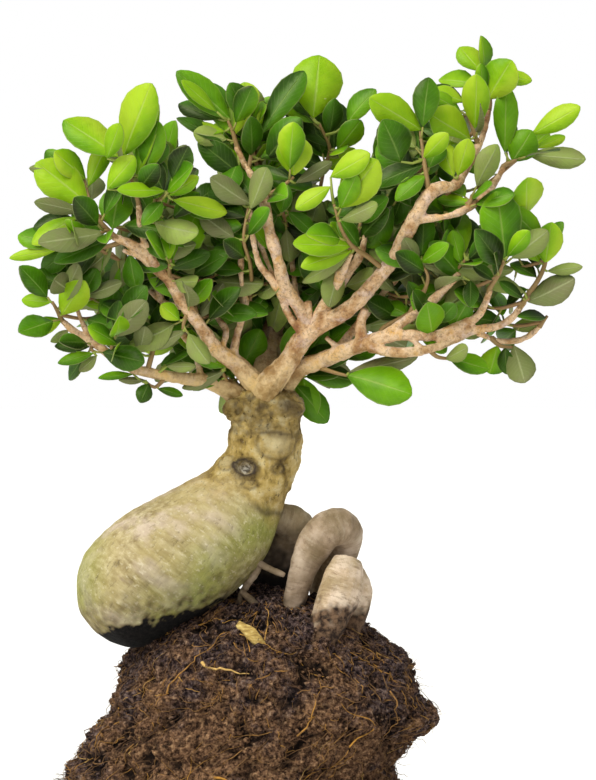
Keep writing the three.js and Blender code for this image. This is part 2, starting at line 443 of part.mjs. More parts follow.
// The root ball: oval rings that follow ROOT_BALL, closed by a low dome.
function rootBall(grow) {
  const rings = ROOT_BALL.length;
  const geometry = new THREE.CylinderGeometry(1, 1, 1, 20, rings - 1);
  const position = geometry.attributes.position;
  for (let i = 0; i < position.count; i++) {
    const level = Math.round((position.getY(i) + 0.5) * (rings - 1));
    const { z, left, right, half } = ROOT_BALL[level];
    const onAxis = Math.hypot(position.getX(i), position.getZ(i)) < 0.5;
    const x = (left + right) / 2 + position.getX(i) * ((right - left) / 2 + grow);
    if (onAxis && level === rings - 1) position.setXYZ(i, ...ROOT_BALL_TOP);
    else position.setXYZ(i, x, position.getZ(i) * (half + grow), z);
  }
  return facingOut(solid(geometry), geometry);
}

function barkChip() {
  const { at, size, turn } = BARK_CHIP;
  const chip = new THREE.BoxGeometry(...size, 3, 1, 1);
  const position = chip.attributes.position;
  for (let i = 0; i < position.count; i++) {
    const bend = (position.getX(i) / size[0]) ** 2 * 4;
    position.setZ(i, position.getZ(i) - bend);
  }
  chip.rotateX(turn[0]).rotateY(turn[1]).rotateZ(turn[2]).translate(...at);
  return solid(chip);
}

// ---- assembly ----
const bonsai = new THREE.Group();
bonsai.name = "bonsai_tree_in_a_pot";
const cutters = []; // each finished piece, a little larger, with its box

const boxesMeet = (a, b) => [0, 1, 2].every((k) => a.min[k] <= b.max[k] && b.min[k] <= a.max[k]);

// Adds a piece, cut clear of every earlier one. `larger` is the same piece grown by GAP.
function add(name, made, larger, color, roughness) {
  const box = made.boundingBox();
  const near = cutters.filter((c) => boxesMeet(box, c.box)).map((c) => c.larger);
  const cut = near.length ? made.subtract(wasm.Manifold.union(near)) : made;
  const whole = cut.simplify(SIMPLIFY).decompose().reduce((a, b) => (b.volume() > a.volume() ? b : a));
  cutters.push({ larger, box: larger.boundingBox() });
  const mesh = whole.getMesh();
  const geometry = new THREE.BufferGeometry();
  geometry.setAttribute("position", new THREE.BufferAttribute(new Float32Array(mesh.vertProperties), 3));
  geometry.setIndex(new THREE.BufferAttribute(new Uint32Array(mesh.triVerts), 1));
  geometry.computeVertexNormals();
  const material = new THREE.MeshStandardMaterial({ color, roughness, metalness: 0 });
  const piece = new THREE.Mesh(geometry, material);
  piece.name = name;
  bonsai.add(piece);
}

const onTree = (made) => made.translate([0, 0, TREE_BASE]);

const potShell = pot();
add("pot", potShell, potShell, "#5b4f45", 0.75);

function trunk(grow) {
  const stubs = STUBS.map((points) => taperedBar(points, 8, 6, grow));
  return wasm.Manifold.union([taperedBar(SWOLLEN_ROOT_AND_TRUNK, 14, 13, grow), ...stubs]);
}
add("swollen_root_and_trunk", onTree(trunk(0)), onTree(trunk(GAP)), "#a39a78", 0.8);

for (const [name, points] of Object.entries(ROOTS)) {
  const shape = (grow) => {
    const bars = [taperedBar(points, 8, 12, grow)];
    if (name === "front_root") bars.push(taperedBar(FRONT_ROOT_LOBE, 8, 9, grow));
    return onTree(wasm.Manifold.union(bars));
  };
  add(name, shape(0), shape(GAP), "#8f8672", 0.85);
}
const rootletBars = (grow) => ROOTLETS.map((points) => taperedBar(points, 6, 8, grow));
const rootlets = (grow) => onTree(wasm.Manifold.union(rootletBars(grow)));
add("rootlet", rootlets(0), rootlets(GAP), "#7d6a50", 0.85);

const soil = (grow) => onTree(rootBall(grow)).add(potFill());
add("soil", soil(0), soil(GAP), "#2e221b", 1);
add("bark_chip", onTree(barkChip()), onTree(barkChip()), "#b59a55", 0.85);

for (const [name, lines] of Object.entries(LIMBS)) {
  const shape = (grow) => onTree(wasm.Manifold.union(lines.map((points) => taperedBar(points, 6, 18, grow))));
  add(name, shape(0), shape(GAP), "#b08a6c", 0.75);
}

SPRAYS.forEach((entry, number) => {
  const [name, , leaves] = entry;
  const tones = leaves.map((leaf) => leaf[5]);
  const tone = tones.length ? Math.round(tones.reduce((a, b) => a + b) / tones.length) : 0;
  add(name, onTree(spray(entry, number, 0)), onTree(spray(entry, number, GAP)), TONES[tone], 0.4);
});

export default bonsai;
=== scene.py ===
import math

import bpy
import numpy as np
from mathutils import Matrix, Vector, noise


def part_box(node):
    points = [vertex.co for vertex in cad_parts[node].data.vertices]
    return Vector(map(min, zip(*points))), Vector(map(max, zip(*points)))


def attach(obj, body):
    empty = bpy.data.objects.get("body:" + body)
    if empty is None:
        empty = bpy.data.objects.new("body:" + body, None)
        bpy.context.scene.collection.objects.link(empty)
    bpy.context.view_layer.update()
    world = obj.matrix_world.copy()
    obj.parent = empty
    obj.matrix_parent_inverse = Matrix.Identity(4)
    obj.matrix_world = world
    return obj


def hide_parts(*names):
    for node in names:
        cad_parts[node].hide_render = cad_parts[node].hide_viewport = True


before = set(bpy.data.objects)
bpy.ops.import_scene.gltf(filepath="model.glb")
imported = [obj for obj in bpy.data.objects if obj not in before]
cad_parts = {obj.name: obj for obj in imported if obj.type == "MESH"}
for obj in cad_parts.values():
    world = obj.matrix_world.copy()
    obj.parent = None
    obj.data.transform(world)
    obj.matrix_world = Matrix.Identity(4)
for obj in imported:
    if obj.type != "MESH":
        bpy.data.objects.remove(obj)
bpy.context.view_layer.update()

MM = 0.001
POT_LOW, POT_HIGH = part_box("pot")
RIM_ABOVE_FLOOR = POT_HIGH.z / MM
TREE_BASE = RIM_ABOVE_FLOOR + 16  # the tree's points are measured from here, in mm
GOLDEN_ANGLE = math.pi * (3 - math.sqrt(5))
LEAF_DEPTH_SPREAD = 34  # how far the front leaves fan towards and away from the front
LEAF_TILT_BACK = 0.45
INNER_LEAF_LENGTH = 36
BACK_LEAF_SHARE = 7  # a finished back shoot carries this many leaves for each plain one
FRONT_LEAF_SHARE = 3  # and a front shoot this many inner leaves
LEAF_THICKNESS = 0.45
STEM_RADIUS = 1.7

# The swollen root and trunk: x, y, z and radius, in mm.
SWOLLEN_ROOT_AND_TRUNK = [
    [-101, -12, 105, 8], [-97, -12, 108, 19], [-90, -12, 113, 30], [-81, -13, 120, 37], [-70, -13, 130, 40.5],
    [-55, -13, 142, 42], [-38, -11, 151, 41.5], [-22, -8, 162, 39.5], [-9, -5, 175, 35.5], [1, -3, 188, 30],
    [8, -1, 200, 26], [14, 0, 213, 24], [17, 0, 230, 24.5], [17, 0, 247, 24],
    [17, 0, 257, 20.5], [17, 0, 264, 12],
]
STUBS = [
    [[6, -6, 243, 11], [-1, -13, 247, 10], [-3, -16, 249, 7]],
    [[22, -8, 245, 14], [31, -11, 251, 12], [34, -13, 255, 8]],
]
ROOTS = {
    "back_root": [
        [24, 8, 176, 9], [36, 14, 168, 13.5], [34, 21, 153, 18.5], [24, 27, 130, 22], [22, 28, 98, 18],
    ],
    "looped_root": [
        [34, -14, 96, 8], [36, -15, 118, 7.2], [38, -15, 128, 8], [42, -16, 141, 9.4], [48, -16, 155, 11.8],
        [57, -15, 167, 12.9], [66.5, -12, 169.5, 12.8], [71, -6, 164, 11], [68, 5, 151, 10.5], [60, 13, 130, 13],
        [56, 16, 99, 11],
    ],
    "front_root": [
        [72, -24, 149, 9], [70, -27, 140, 13], [66, -31, 127, 14.5], [60, -36, 112, 12.5], [52, -40, 90, 11],
    ],
}
FRONT_ROOT_LOBE = [[76, -22, 140, 7], [80, -19, 128, 8.5], [77, -18, 113, 8], [72, -20, 98, 7]]
ROOTLETS = [
    [[6, -14, 149, 2.2], [13, -15, 145.5, 2.4], [21, -15, 141, 2.3], [30, -14, 137, 2]],
    [[14, -12, 146, 2.6], [9, -13, 137, 2.8], [3, -14, 128, 2.6], [-2, -15, 116, 2.2]],
    [[1, -17, 127, 2.2], [7, -20, 122, 2.1], [13, -22, 117, 1.7]],
]
LIMBS = {
    "right_high_limb": [
        [[16, -14, 255, 9], [18, -15, 262, 10], [31, -13, 278, 7.5], [45, -18, 298, 6.5], [72, -31, 315, 5.5],
            [93, -31, 337, 5], [103, -34, 351, 5], [117, -46, 379, 5], [128, -42, 394, 4.5], [141, -34, 396, 3.5],
            [149, -22, 407, 3.5], [156, -12, 419, 3], [161, -7, 429, 2.6], [166, -3, 449, 2]],
        [[117, -45, 375, 3.5], [135, -46, 376, 2.6], [149, -40, 381, 2.6], [163, -25, 391, 2.6],
            [171, -14, 401, 2.3], [175, -7, 408, 2]],
        [[48, -20, 303, 4.2], [54, -23, 311, 3.6], [62, -24, 323, 3.4], [71, -24, 337, 3.2], [80, -24, 351, 2.6],
            [83, -22, 364, 2]],
        [[50, -22, 307, 3.6], [57, -28, 321, 3.2], [65, -33, 333, 3.2], [67, -36, 341, 3.4]],
        [[64, -32, 331, 2.6], [70, -38, 344, 2.4], [74, -42, 352, 2]],
    ],
    "middle_limb": [
        [[46, -19, 300, 4.5], [41, -23, 313, 4.5], [31, -32, 329, 4.5], [25, -43, 349, 4], [21, -46, 364, 4],
            [18, -36, 379, 3.5], [14, -22, 394, 3], [3, -13, 411, 2.3], [-2, -12, 422, 2]],
        [[42, -19, 296, 2.8], [32, -22, 312, 2.4], [24, -32, 330, 2.4], [13, -38, 346, 2.2], [9, -40, 362, 2],
            [7, -30, 380, 1.6]],
        [[26, -29, 326, 2.2], [20, -24, 341, 2], [14, -22, 360, 1.9], [14, -20, 381, 1.6]],
        [[42, -16, 304, 2.6], [37, -6, 326, 2.2], [35, -2, 344, 2], [33, 2, 360, 1.7]],
        [[46, -20, 303, 3.2], [46, -23, 312, 2.6], [45.5, -25, 320, 2.3]],
    ],
    "left_high_limb": [
        [[14, -10, 260, 8], [1, -12, 275, 6.5], [-15, -20, 288, 5.5], [-25, -30, 303, 4.5], [-34, -34, 315, 4.5],
            [-48, -34, 336, 4], [-58, -33, 349, 4], [-69, -35, 357, 3.5], [-83, -39, 363, 2.3]],
        [[-59, -33, 351, 3], [-64, -38, 365, 2.3], [-66, -45, 384, 2]],
        [[-52, -32, 338, 2.6], [-64, -33, 348, 2], [-77, -36, 354, 1.6]],
        [[-5, -13, 280, 3.4], [-1, -11, 300, 2.9], [4, -16, 318, 2.6], [1, -20, 334, 2.2], [1, -24, 350, 2],
            [0, -26, 364, 1.7]],
        [[3, -14, 314, 2.2], [-1, -8, 338, 2], [-8, -4, 357, 1.8], [-12, 0, 372, 1.5]],
        [[-12, -18, 288, 2.6], [-9, -13, 300, 2.2], [-15, -8, 308, 2], [-22, -4, 316, 1.6]],
        [[-36, -32, 316, 2.8], [-50, -18, 319, 2.2], [-62, -14, 329, 2], [-73, -14, 339, 1.8],
            [-85, -10, 352, 1.5]],
        [[-51, -17, 320, 2], [-57, -22, 334, 2], [-59, -32, 347, 2.2]],
    ],
    "left_low_limb": [
        [[0, -1, 256, 8], [-18, -6, 265, 6], [-35, -14, 268, 4.5], [-51, -23, 271, 3.5], [-71, -30, 276, 3.5],
            [-83, -29, 283, 3.5], [-94, -26, 291, 3], [-105, -22, 297, 2.6], [-117, -25, 307, 2]],
        [[-96, -24, 292, 2.3], [-103, -23, 304, 2], [-109, -27, 320, 1.6]],
        [[-26, -10, 267, 2.6], [-29, -8, 284, 2.2], [-39, -4, 299, 2], [-52, 2, 312, 1.6]],
    ],
    "back_limb": [
        [[17, 6, 258, 10.5], [18, 16, 276, 10], [20, 26, 292, 8.5], [24, 36, 308, 6.5], [30, 44, 330, 5],
            [35, 50, 360, 4], [42, 50, 384, 2.6]],
        [[19, 22, 286, 4], [4, 26, 302, 3], [-2, 30, 316, 2.4], [-8, 30, 332, 2]],
        [[22, 20, 284, 4], [36, 24, 300, 3], [44, 26, 316, 2.4]],
    ],
    "right_low_limb": [
        [[28, 0, 262, 8], [40, -5, 275, 6.5], [52, -10, 279, 6], [67, -20, 286, 5.5], [83, -29, 292, 5],
            [98, -34, 297, 4.5], [111, -36, 298, 4], [127, -32, 297, 3.5], [142, -27, 302, 3.5],
            [151, -25, 306, 3.5], [159, -27, 312, 2.6], [165, -37, 328, 2]],
        [[86, -32, 290, 3.5], [100, -38, 287, 3.5], [113, -40, 287, 3.5], [129, -35, 290, 3], [144, -28, 296, 3],
            [155, -26, 301, 3], [170, -22, 303, 2.6], [180, -24, 309, 2.3], [188, -29, 320, 2]],
        [[157, -23, 299, 2.3], [173, -13, 293, 2], [187, -10, 294, 2], [195, -12, 299, 1.6],
            [201, -13, 305, 1.3]],
        [[96, -34, 297, 3.6], [110, -32, 308, 3.2], [122, -31, 316, 3], [136, -33, 329, 2.6],
            [145, -37, 339, 2.2]],
        [[81, -27, 292, 4.2], [80, -27, 306, 3.6], [83, -29, 315, 2.6]],
        [[68, -20, 286, 2.6], [63, -18, 291, 2.1], [57, -18, 296, 1.9]],
        [[149, -25, 305, 2.6], [150, -22, 314, 2.2], [151, -18, 323, 1.8]],
        [[111, -36, 297, 2.4], [116, -38, 293, 2.1], [121, -38, 289, 2.1]],
        [[62, -17, 284, 3.4], [80, -8, 306, 2.6], [92, -10, 321, 2.3], [104, -14, 334, 2], [118, -20, 343, 1.6]],
    ],
}


# The root ball: height, left edge, right edge and half-width front to back.
ROOT_BALL = [
    [-22, -118, 112, 86],
    [8, -114, 102, 84],
    [24, -106, 114, 82],
    [42, -90, 131, 80],
    [60, -85, 122, 76],
    [83, -74, 108, 68],
    [103, -58, 84, 54],
    [116, -28, 62, 34],
]
ROOT_BALL_TOP = [6, 0, 126]
POT_WALL = 9
SOIL_BELOW_RIM = 6

# Bold roots on the ball: angle round it, height, direction, steps, shade and radius.
BOLD_ROOTS = [
    (4.25, 0.62, 5.6, 12, 1.0, 1.2), (4.05, 0.5, 1.4, 20, 0.75, 0.7), (4.9, 0.35, 1.2, 14, 0.8, 0.6),
    (5.3, 0.3, 1.0, 14, 0.85, 0.6), (3.9, 0.3, 5.2, 16, 0.7, 0.5), (4.6, 0.2, 0.2, 16, 0.85, 0.9),
    (5.6, 0.5, 4.4, 12, 0.7, 0.6), (3.5, 0.35, 4.9, 18, 0.6, 0.6), (0.8, 0.4, 4.5, 20, 0.6, 0.8),
    (1.9, 0.5, 5.0, 18, 0.8, 0.7), (2.6, 0.4, 1.2, 18, 0.6, 0.9), (4.75, 0.7, 0.9, 9, 0.9, 0.5),
]

# Leafy sprays: name, stem points, leaves [base x, base z, tip x, tip z, width over length, kind]
# and the number of inner leaves set by rule. Kind 0 is dark, 1 green, 2 young; 3 and 4 show the underside.
SPRAYS = [
    # left side, top to bottom
    ["top_left_spray", [[-66, -44, 385], [-70, -47, 400], [-73, -43, 414]],
        [[-75, 416, -58, 461, 0.5, 2], [-79, 415, -114, 439, 0.55, 2], [-86, 414, -78, 436, 0.5, 2],
         [-67, 401, -54, 449, 0.25, 1], [-60, 406, -53, 437, 0.6, 1], [-86, 394, -69, 415, 0.6, 2]], 1],
    ["left_shoulder_spray", [[-83, -39, 364], [-92, -44, 374], [-98, -39, 386], [-102, -30, 400]],
        [[-99, 384, -132, 411, 0.6, 2], [-101, 401, -120, 418, 0.6, 2], [-108, 408, -137, 407, 0.35, 3],
         [-102, 379, -133, 385, 0.3, 3], [-106, 376, -135, 359, 0.4, 2], [-99, 396, -88, 424, 0.4, 2],
         [-104, 372, -135, 369, 0.5, 0]], 1],
    ["left_front_spray", [[-83, -39, 364], [-87, -46, 367], [-90, -50, 366]],
        [[-83, 368, -79, 395, 0.75, 1], [-87, 366, -129, 357, 0.42, 3], [-85, 361, -119, 348, 0.4, 0]], 1],
    ["left_edge_spray", [[-76, -37, 361], [-84, -35, 357], [-100, -38, 355], [-118, -42, 355]],
        [[-118, 355, -150, 349, 0.22, 2], [-83, 357, -98, 341, 0.55, 4], [-104, 356, -126, 372, 0.5, 0],
         [-110, 355, -130, 340, 0.5, 0], [-96, 356, -112, 371, 0.5, 1]], 1],
    ["left_inner_spray", [[-65, -41, 372], [-56, -48, 382], [-47, -52, 391]],
        [[-43, 401, -33, 421, 0.6, 0], [-49, 393, -58, 411, 0.7, 0], [-48, 393, -78, 394, 0.35, 2],
         [-45, 390, -27, 402, 0.4, 2], [-43, 387, -9, 379, 0.36, 2], [-50, 386, -62, 372, 0.5, 1]], 1],
    ["left_limb_spray", [[-46, -34, 333], [-46, -38, 341], [-45, -42, 348]],
        [[-46, 347, -55, 367, 0.8, 1], [-43, 344, -27, 381, 0.5, 1], [-44, 342, -20, 352, 0.45, 0]], 1],
    ["far_left_spray", [[-109, -28, 321], [-110, -33, 328], [-107, -35, 334]],
        [[-113, 333, -114, 353, 0.85, 0], [-113, 330, -136, 338, 0.55, 0], [-102, 325, -94, 341, 0.8, 0],
         [-101, 324, -77, 332, 0.42, 3], [-102, 318, -88, 318, 0.5, 2]], 1],
    ["low_left_tip_spray", [[-117, -25, 307], [-120, -32, 314], [-123, -37, 320]],
        [[-117, 311, -102, 333, 0.6, 2], [-123, 320, -143, 321, 0.4, 2], [-117, 308, -137, 301, 0.5, 2],
         [-113, 301, -124, 293, 0.5, 4]], 1],
    ["low_left_under_spray", [[-96, -25, 292], [-98, -27, 289], [-96, -31, 287]],
        [[-99, 290, -121, 291, 0.42, 0], [-96, 286, -119, 280, 0.34, 1], [-94, 284, -105, 274, 0.5, 4]], 1],
    ["low_left_twig_spray", [[-83, -29, 284], [-84, -35, 290], [-81, -39, 298]],
        [[-81, 297, -61, 321, 0.5, 3], [-83, 293, -79, 320, 0.4, 0], [-80, 292, -97, 304, 0.5, 1],
         [-78, 308, -62, 330, 0.6, 0]], 1],
    ["low_left_loop_spray", [[-48, -22, 270], [-56, -24, 263], [-61, -28, 266]],
        [[-60, 266, -65, 254, 0.75, 0], [-54, 262, -38, 258, 0.4, 0], [-62, 268, -79, 268, 0.3, 3],
         [-70, 272, -92, 270, 0.25, 1]], 0],
    ["left_hollow_spray", [[-60, -27, 274], [-58, -27, 284], [-56, -23, 294], [-60, 10, 306]],
        [[-55, 289, -69, 306, 0.6, 0], [-66, 286, -62, 304, 0.6, 3], [-49, 278, -32, 288, 0.25, 0],
         [-48, 277, -29, 277, 0.35, 4], [-58, 300, -46, 318, 0.6, 0], [-62, 306, -78, 318, 0.55, 0]], 2],
    ["left_fork_spray", [[-33, -34, 313], [-36, -38, 308], [-37, -40, 302]],
        [[-35, 301, -57, 290, 0.36, 3], [-39, 308, -51, 318, 0.7, 2]], 1],
    ["trunk_side_spray", [[-6, -2, 262], [-10, -9, 269], [-12, -13, 274]],
        [[-9, 274, -37, 262, 0.3, 3], [-12, 268, -29, 264, 0.4, 0], [-9, 276, -30, 284, 0.45, 1]], 0],
    ["left_middle_spray", [[-23, -27, 300], [-27, -29, 309], [-30, -27, 320]],
        [[-27, 309, -11, 331, 0.42, 3], [-32, 318, -19, 334, 0.42, 1], [-30, 318, -38, 336, 0.5, 0]], 1],
    ["upright_spray", [[-5, -5, 281], [0, -3, 300], [7, -9, 322], [7, -31, 345], [3, -42, 361], [6, -33, 382]],
        [[8, 384, -19, 400, 0.5, 3], [-3, 362, -25, 377, 0.5, 3], [-3, 319, -20, 322, 0.5, 2],
         [-3, 306, -27, 313, 0.5, 1], [4, 314, 16, 326, 0.5, 0], [4, 350, -16, 356, 0.5, 0],
         [2, 340, -18, 342, 0.5, 0], [6, 372, 20, 356, 0.4, 1]], 2],
    # middle of the crown
    ["upper_middle_spray", [[-2, -12, 423], [-4, -12, 430], [-8, -12, 440]],
        [[-4, 429, -6, 458, 0.85, 2], [-6, 440, -40, 471, 0.4, 1], [-15, 445, -37, 465, 0.3, 2],
         [-14, 440, -40, 451, 0.42, 0], [-10, 432, -31, 435, 0.4, 2], [-6, 424, -40, 441, 0.28, 0],
         [0, 404, -26, 425, 0.5, 0]], 1],
    ["peak_spray", [[5, -14, 407], [9, -5, 422], [12, -3, 436]],
        [[6, 441, 3, 464, 0.75, 2], [8, 416, 8, 440, 0.5, 0], [15, 431, 41, 472, 0.38, 0],
         [18, 414, 39, 440, 0.6, 0], [10, 436, 22, 450, 0.4, 2]], 1],
    ["middle_twig_spray", [[17, -25, 390], [26, -27, 394], [36, -27, 402]],
        [[36, 403, 37, 428, 0.95, 2], [37, 398, 60, 411, 0.32, 3], [34, 401, 9, 408, 0.3, 0],
         [32, 397, 28, 380, 0.5, 1]], 1],
    ["top_spray", [[42, 50, 385], [54, 36, 405], [60, 24, 420], [53, 14, 437]],
        [[49, 441, 53, 482, 0.75, 2], [63, 421, 63, 453, 0.7, 0], [72, 438, 89, 460, 0.55, 1],
         [65, 420, 80, 438, 0.6, 1], [61, 422, 31, 447, 0.36, 0], [47, 442, 33, 456, 0.42, 0],
         [66, 415, 46, 427, 0.5, 0], [56, 408, 36, 418, 0.5, 0]], 2],
    ["inner_twig_spray", [[96, -32, 342], [84, -38, 350], [74, -46, 357], [67, -53, 368], [62, -54, 385]],
        [[66, 382, 89, 412, 0.58, 2], [60, 402, 84, 417, 0.5, 2], [60, 396, 38, 382, 0.45, 2],
         [67, 374, 90, 384, 0.42, 4], [74, 357, 37, 359, 0.46, 2], [74, 354, 42, 344, 0.34, 2],
         [73, 352, 43, 333, 0.25, 4]], 1],
    ["inner_right_spray", [[50, -14, 305], [60, -13, 319], [70, -13, 337], [76, -16, 356], [80, -25, 372]],
        [[80, 372, 96, 388, 0.5, 0], [76, 360, 60, 374, 0.5, 0], [70, 345, 56, 352, 0.5, 1],
         [79, 368, 66, 390, 0.5, 0], [66, 330, 56, 342, 0.45, 0]], 2],
    # right side, top to bottom
    ["right_stub_spray", [[124, -44, 394], [122, -42, 408], [120, -35, 424], [119, -29, 432]],
        [[120, 433, 87, 453, 0.5, 2], [119, 420, 101, 417, 0.62, 4], [106, 412, 96, 438, 0.8, 0],
         [121, 410, 87, 397, 0.36, 0], [122, 403, 103, 388, 0.5, 1], [121, 414, 136, 430, 0.5, 2]], 1],
    ["right_low_lime_spray", [[143, -33, 397], [143, -34, 401]],
        [[141, 402, 133, 425, 0.5, 2], [144, 403, 150, 426, 0.5, 2]], 0],
    ["right_tip_spray", [[166, -3, 451], [165, -4, 458], [161, 1, 470]],
        [[160, 472, 147, 488, 0.7, 2], [165, 453, 179, 478, 0.78, 2], [168, 470, 193, 466, 0.4, 2],
         [162, 455, 160, 476, 0.4, 1]], 1],
    ["right_upper_spray", [[158, -10, 424], [155, -11, 432], [150, -12, 446]],
        [[148, 452, 129, 459, 0.6, 2], [156, 434, 156, 468, 0.5, 2], [153, 427, 127, 443, 0.72, 2],
         [148, 446, 134, 436, 0.5, 1], [158, 424, 140, 420, 0.5, 1]], 1],
    ["right_end_spray", [[175, -7, 409], [183, -6, 413], [192, -5, 421]],
        [[181, 412, 193, 432, 0.85, 1], [194, 430, 224, 448, 0.42, 2], [191, 417, 228, 413, 0.38, 4],
         [198, 421, 216, 429, 0.4, 2], [176, 418, 177, 461, 0.36, 1]], 1],
    ["right_branch_spray", [[149, -40, 381], [152, -38, 386], [153, -31, 390]],
        [[153, 388, 164, 398, 0.5, 1], [153, 385, 131, 388, 0.36, 1]], 1],
    ["right_dark_spray", [[165, -38, 329], [171, -44, 339], [174, -47, 348]],
        [[175, 347, 169, 391, 0.58, 1], [172, 345, 156, 366, 0.5, 0], [176, 350, 188, 366, 0.45, 1],
         [168, 334, 154, 344, 0.5, 0]], 1],
    ["right_outer_spray", [[188, -29, 321], [197, -30, 334], [202, -28, 347], [200, -30, 362], [192, -27, 377]],
        [[189, 377, 189, 400, 0.8, 2], [200, 360, 177, 383, 0.42, 1], [202, 345, 205, 371, 0.6, 2],
         [198, 346, 188, 362, 0.7, 2], [203, 340, 225, 343, 0.3, 4], [200, 354, 212, 372, 0.5, 1]], 1],
    ["right_side_spray", [[186, -29, 318], [189, -33, 321], [191, -35, 322]],
        [[190, 320, 220, 334, 0.6, 3], [188, 326, 160, 337, 0.36, 4], [187, 322, 172, 333, 0.4, 0]], 0],
    ["right_middle_spray", [[94, -28, 301], [111, -24, 311], [127, -22, 323], [140, -28, 337], [149, -39, 348]],
        [[151, 348, 164, 362, 0.5, 0], [143, 340, 128, 356, 0.5, 0], [152, 334, 152, 318, 0.6, 0],
         [111, 311, 96, 318, 0.6, 1], [146, 345, 140, 366, 0.5, 1], [120, 318, 112, 332, 0.5, 0]], 2],
    ["long_leaf_spray", [[113, -31, 313], [122, -33, 327], [124, -37, 338], [119, -38, 345]],
        [[118, 345, 178, 340, 0.25, 4], [122, 340, 104, 352, 0.5, 0], [120, 346, 136, 358, 0.45, 1],
         [118, 346, 108, 362, 0.5, 3]], 1],
    ["right_low_spray", [[128, -32, 299], [127, -30, 305], [130, -28, 312]],
        [[127, 299, 124, 318, 0.75, 1], [131, 306, 141, 318, 0.6, 0], [129, 308, 114, 322, 0.5, 0]], 1],
    ["right_far_spray", [[201, -15, 306], [204, -16, 310]],
        [[203, 309, 185, 311, 0.34, 0], [203, 307, 183, 302, 0.4, 4]], 0],
    ["right_hanging_spray", [[166, -18, 296], [173, -13, 290], [182, -10, 289]],
        [[171, 290, 166, 271, 0.8, 1], [182, 290, 189, 266, 0.62, 3], [176, 289, 177, 272, 0.6, 0]], 0],
    ["right_under_spray", [[124, -37, 289], [130, -34, 284], [139, -27, 282]],
        [[139, 282, 164, 276, 0.56, 1], [136, 282, 150, 290, 0.5, 4]], 0],
    ["low_leaf_spray", [[52, -10, 277], [62, -20, 273], [71, -27, 271]],
        [[71, 271, 111, 261, 0.56, 1], [72, 273, 116, 282, 0.25, 3]], 0],
    ["under_fork_spray", [[34, -1, 266], [38, 12, 265], [42, 18, 268]],
        [[42, 267, 48, 241, 0.62, 1], [44, 268, 64, 270, 0.4, 0]], 0],
    # back of the crown: leaves set by rule only
    ["back_left_low_spray", [[-2, 10, 262], [-30, 40, 290], [-62, 60, 306], [-92, 70, 320]], [], 9],
    ["back_left_high_spray", [[2, 12, 264], [-18, 44, 310], [-38, 56, 352], [-52, 42, 404]], [], 10],
    ["back_spray", [[19, 24, 285], [14, 60, 320], [10, 90, 352], [6, 104, 388]], [], 10],
    ["back_top_spray", [[34, 52, 352], [22, 56, 384], [12, 36, 414], [4, 16, 436]], [], 8],
    ["back_right_high_spray", [[28, 46, 322], [62, 66, 352], [92, 56, 384], [114, 32, 414]], [], 10],
    ["back_right_low_spray", [[30, 14, 268], [66, 46, 292], [104, 66, 312], [142, 70, 330]], [], 10],
    ["crown_heart_spray", [[20, 26, 294], [8, 44, 300], [24, 56, 312], [50, 52, 322], [56, 30, 336]], [], 9],
]


# ---------------------------------------------------------------- small tools
def chance(i):
    """A fixed pseudo-random number from 0 to 1 for the number i."""
    s = math.sin(i * 12.9898) * 43758.5453
    return s - math.floor(s)


def linear(hex_colour):
    """An sRGB hex colour as linear red, green, blue and alpha."""
    parts = [int(hex_colour[i : i + 2], 16) / 255 for i in (1, 3, 5)]
    return (*[c / 12.92 if c <= 0.04045 else ((c + 0.055) / 1.055) ** 2.4 for c in parts], 1)


def smooth_line(points, step):
    """Points about `step` apart on the smooth line through `points`; further columns, such as radius, follow."""
    p = np.array(points, float)
    p = np.vstack([2 * p[0] - p[1], p, 2 * p[-1] - p[-2]])
    found = []
    for i in range(1, len(p) - 2):
        a, b, c, d = p[i - 1 : i + 3]
        t1 = max(np.linalg.norm((b - a)[:3]) ** 0.5, 1e-4)
        t2 = t1 + max(np.linalg.norm((c - b)[:3]) ** 0.5, 1e-4)
        t3 = t2 + max(np.linalg.norm((d - c)[:3]) ** 0.5, 1e-4)
        count = max(2, int(np.linalg.norm((c - b)[:3]) / step + 0.5))
        for t in np.linspace(t1, t2, count, endpoint=False):
            ab = a * (t1 - t) / t1 + b * t / t1
            bc = b * (t2 - t) / (t2 - t1) + c * (t - t1) / (t2 - t1)
            cd = c * (t3 - t) / (t3 - t2) + d * (t - t2) / (t3 - t2)
            abc = ab * (t2 - t) / t2 + bc * t / t2
            bcd = bc * (t3 - t) / (t3 - t1) + cd * (t - t1) / (t3 - t1)
            found.append(abc * (t2 - t) / (t2 - t1) + bcd * (t - t1) / (t2 - t1))
    found.append(p[-2])
    return np.array(found)


def nothing_selected():
    for o in bpy.context.selected_objects:
        o.select_set(False)


def only(piece):
    nothing_selected()
    piece.select_set(True)
    bpy.context.view_layer.objects.active = piece


def ring_faces(rings, sides):
    """The faces that join closed rings of `sides` vertices, one ring after the other."""
    faces = []
    for i in range(rings - 1):
        for j in range(sides):
            k = (j + 1) % sides
            a, b = i * sides, (i + 1) * sides
            faces.append((a + j, a + k, b + k, b + j))
    return faces


def thin_tube(points, radii, sides, hint):
    """Vertices and faces of a thin closed tube through the points; `hint` settles where its seam lies."""
    points = np.asarray(points, float)
    ahead = np.gradient(points, axis=0)
    ahead /= np.linalg.norm(ahead, axis=1)[:, None] + 1e-9
    side = np.cross(ahead, hint)
    side /= np.linalg.norm(side, axis=1)[:, None] + 1e-9
    over = np.cross(ahead, side)
    angles = [2 * math.pi * j / sides for j in range(sides)]
    verts = [
        p + r * (math.cos(a) * s + math.sin(a) * o)
        for p, r, s, o in zip(points, radii, side, over)
        for a in angles
    ]
    ends = [tuple(reversed(range(sides))), tuple(range(len(verts) - sides, len(verts)))]
    return verts, ring_faces(len(points), sides) + ends


def finish_modifiers(piece):
    only(piece)
    for m in list(piece.modifiers):
        bpy.ops.object.modifier_apply(modifier=m.name)


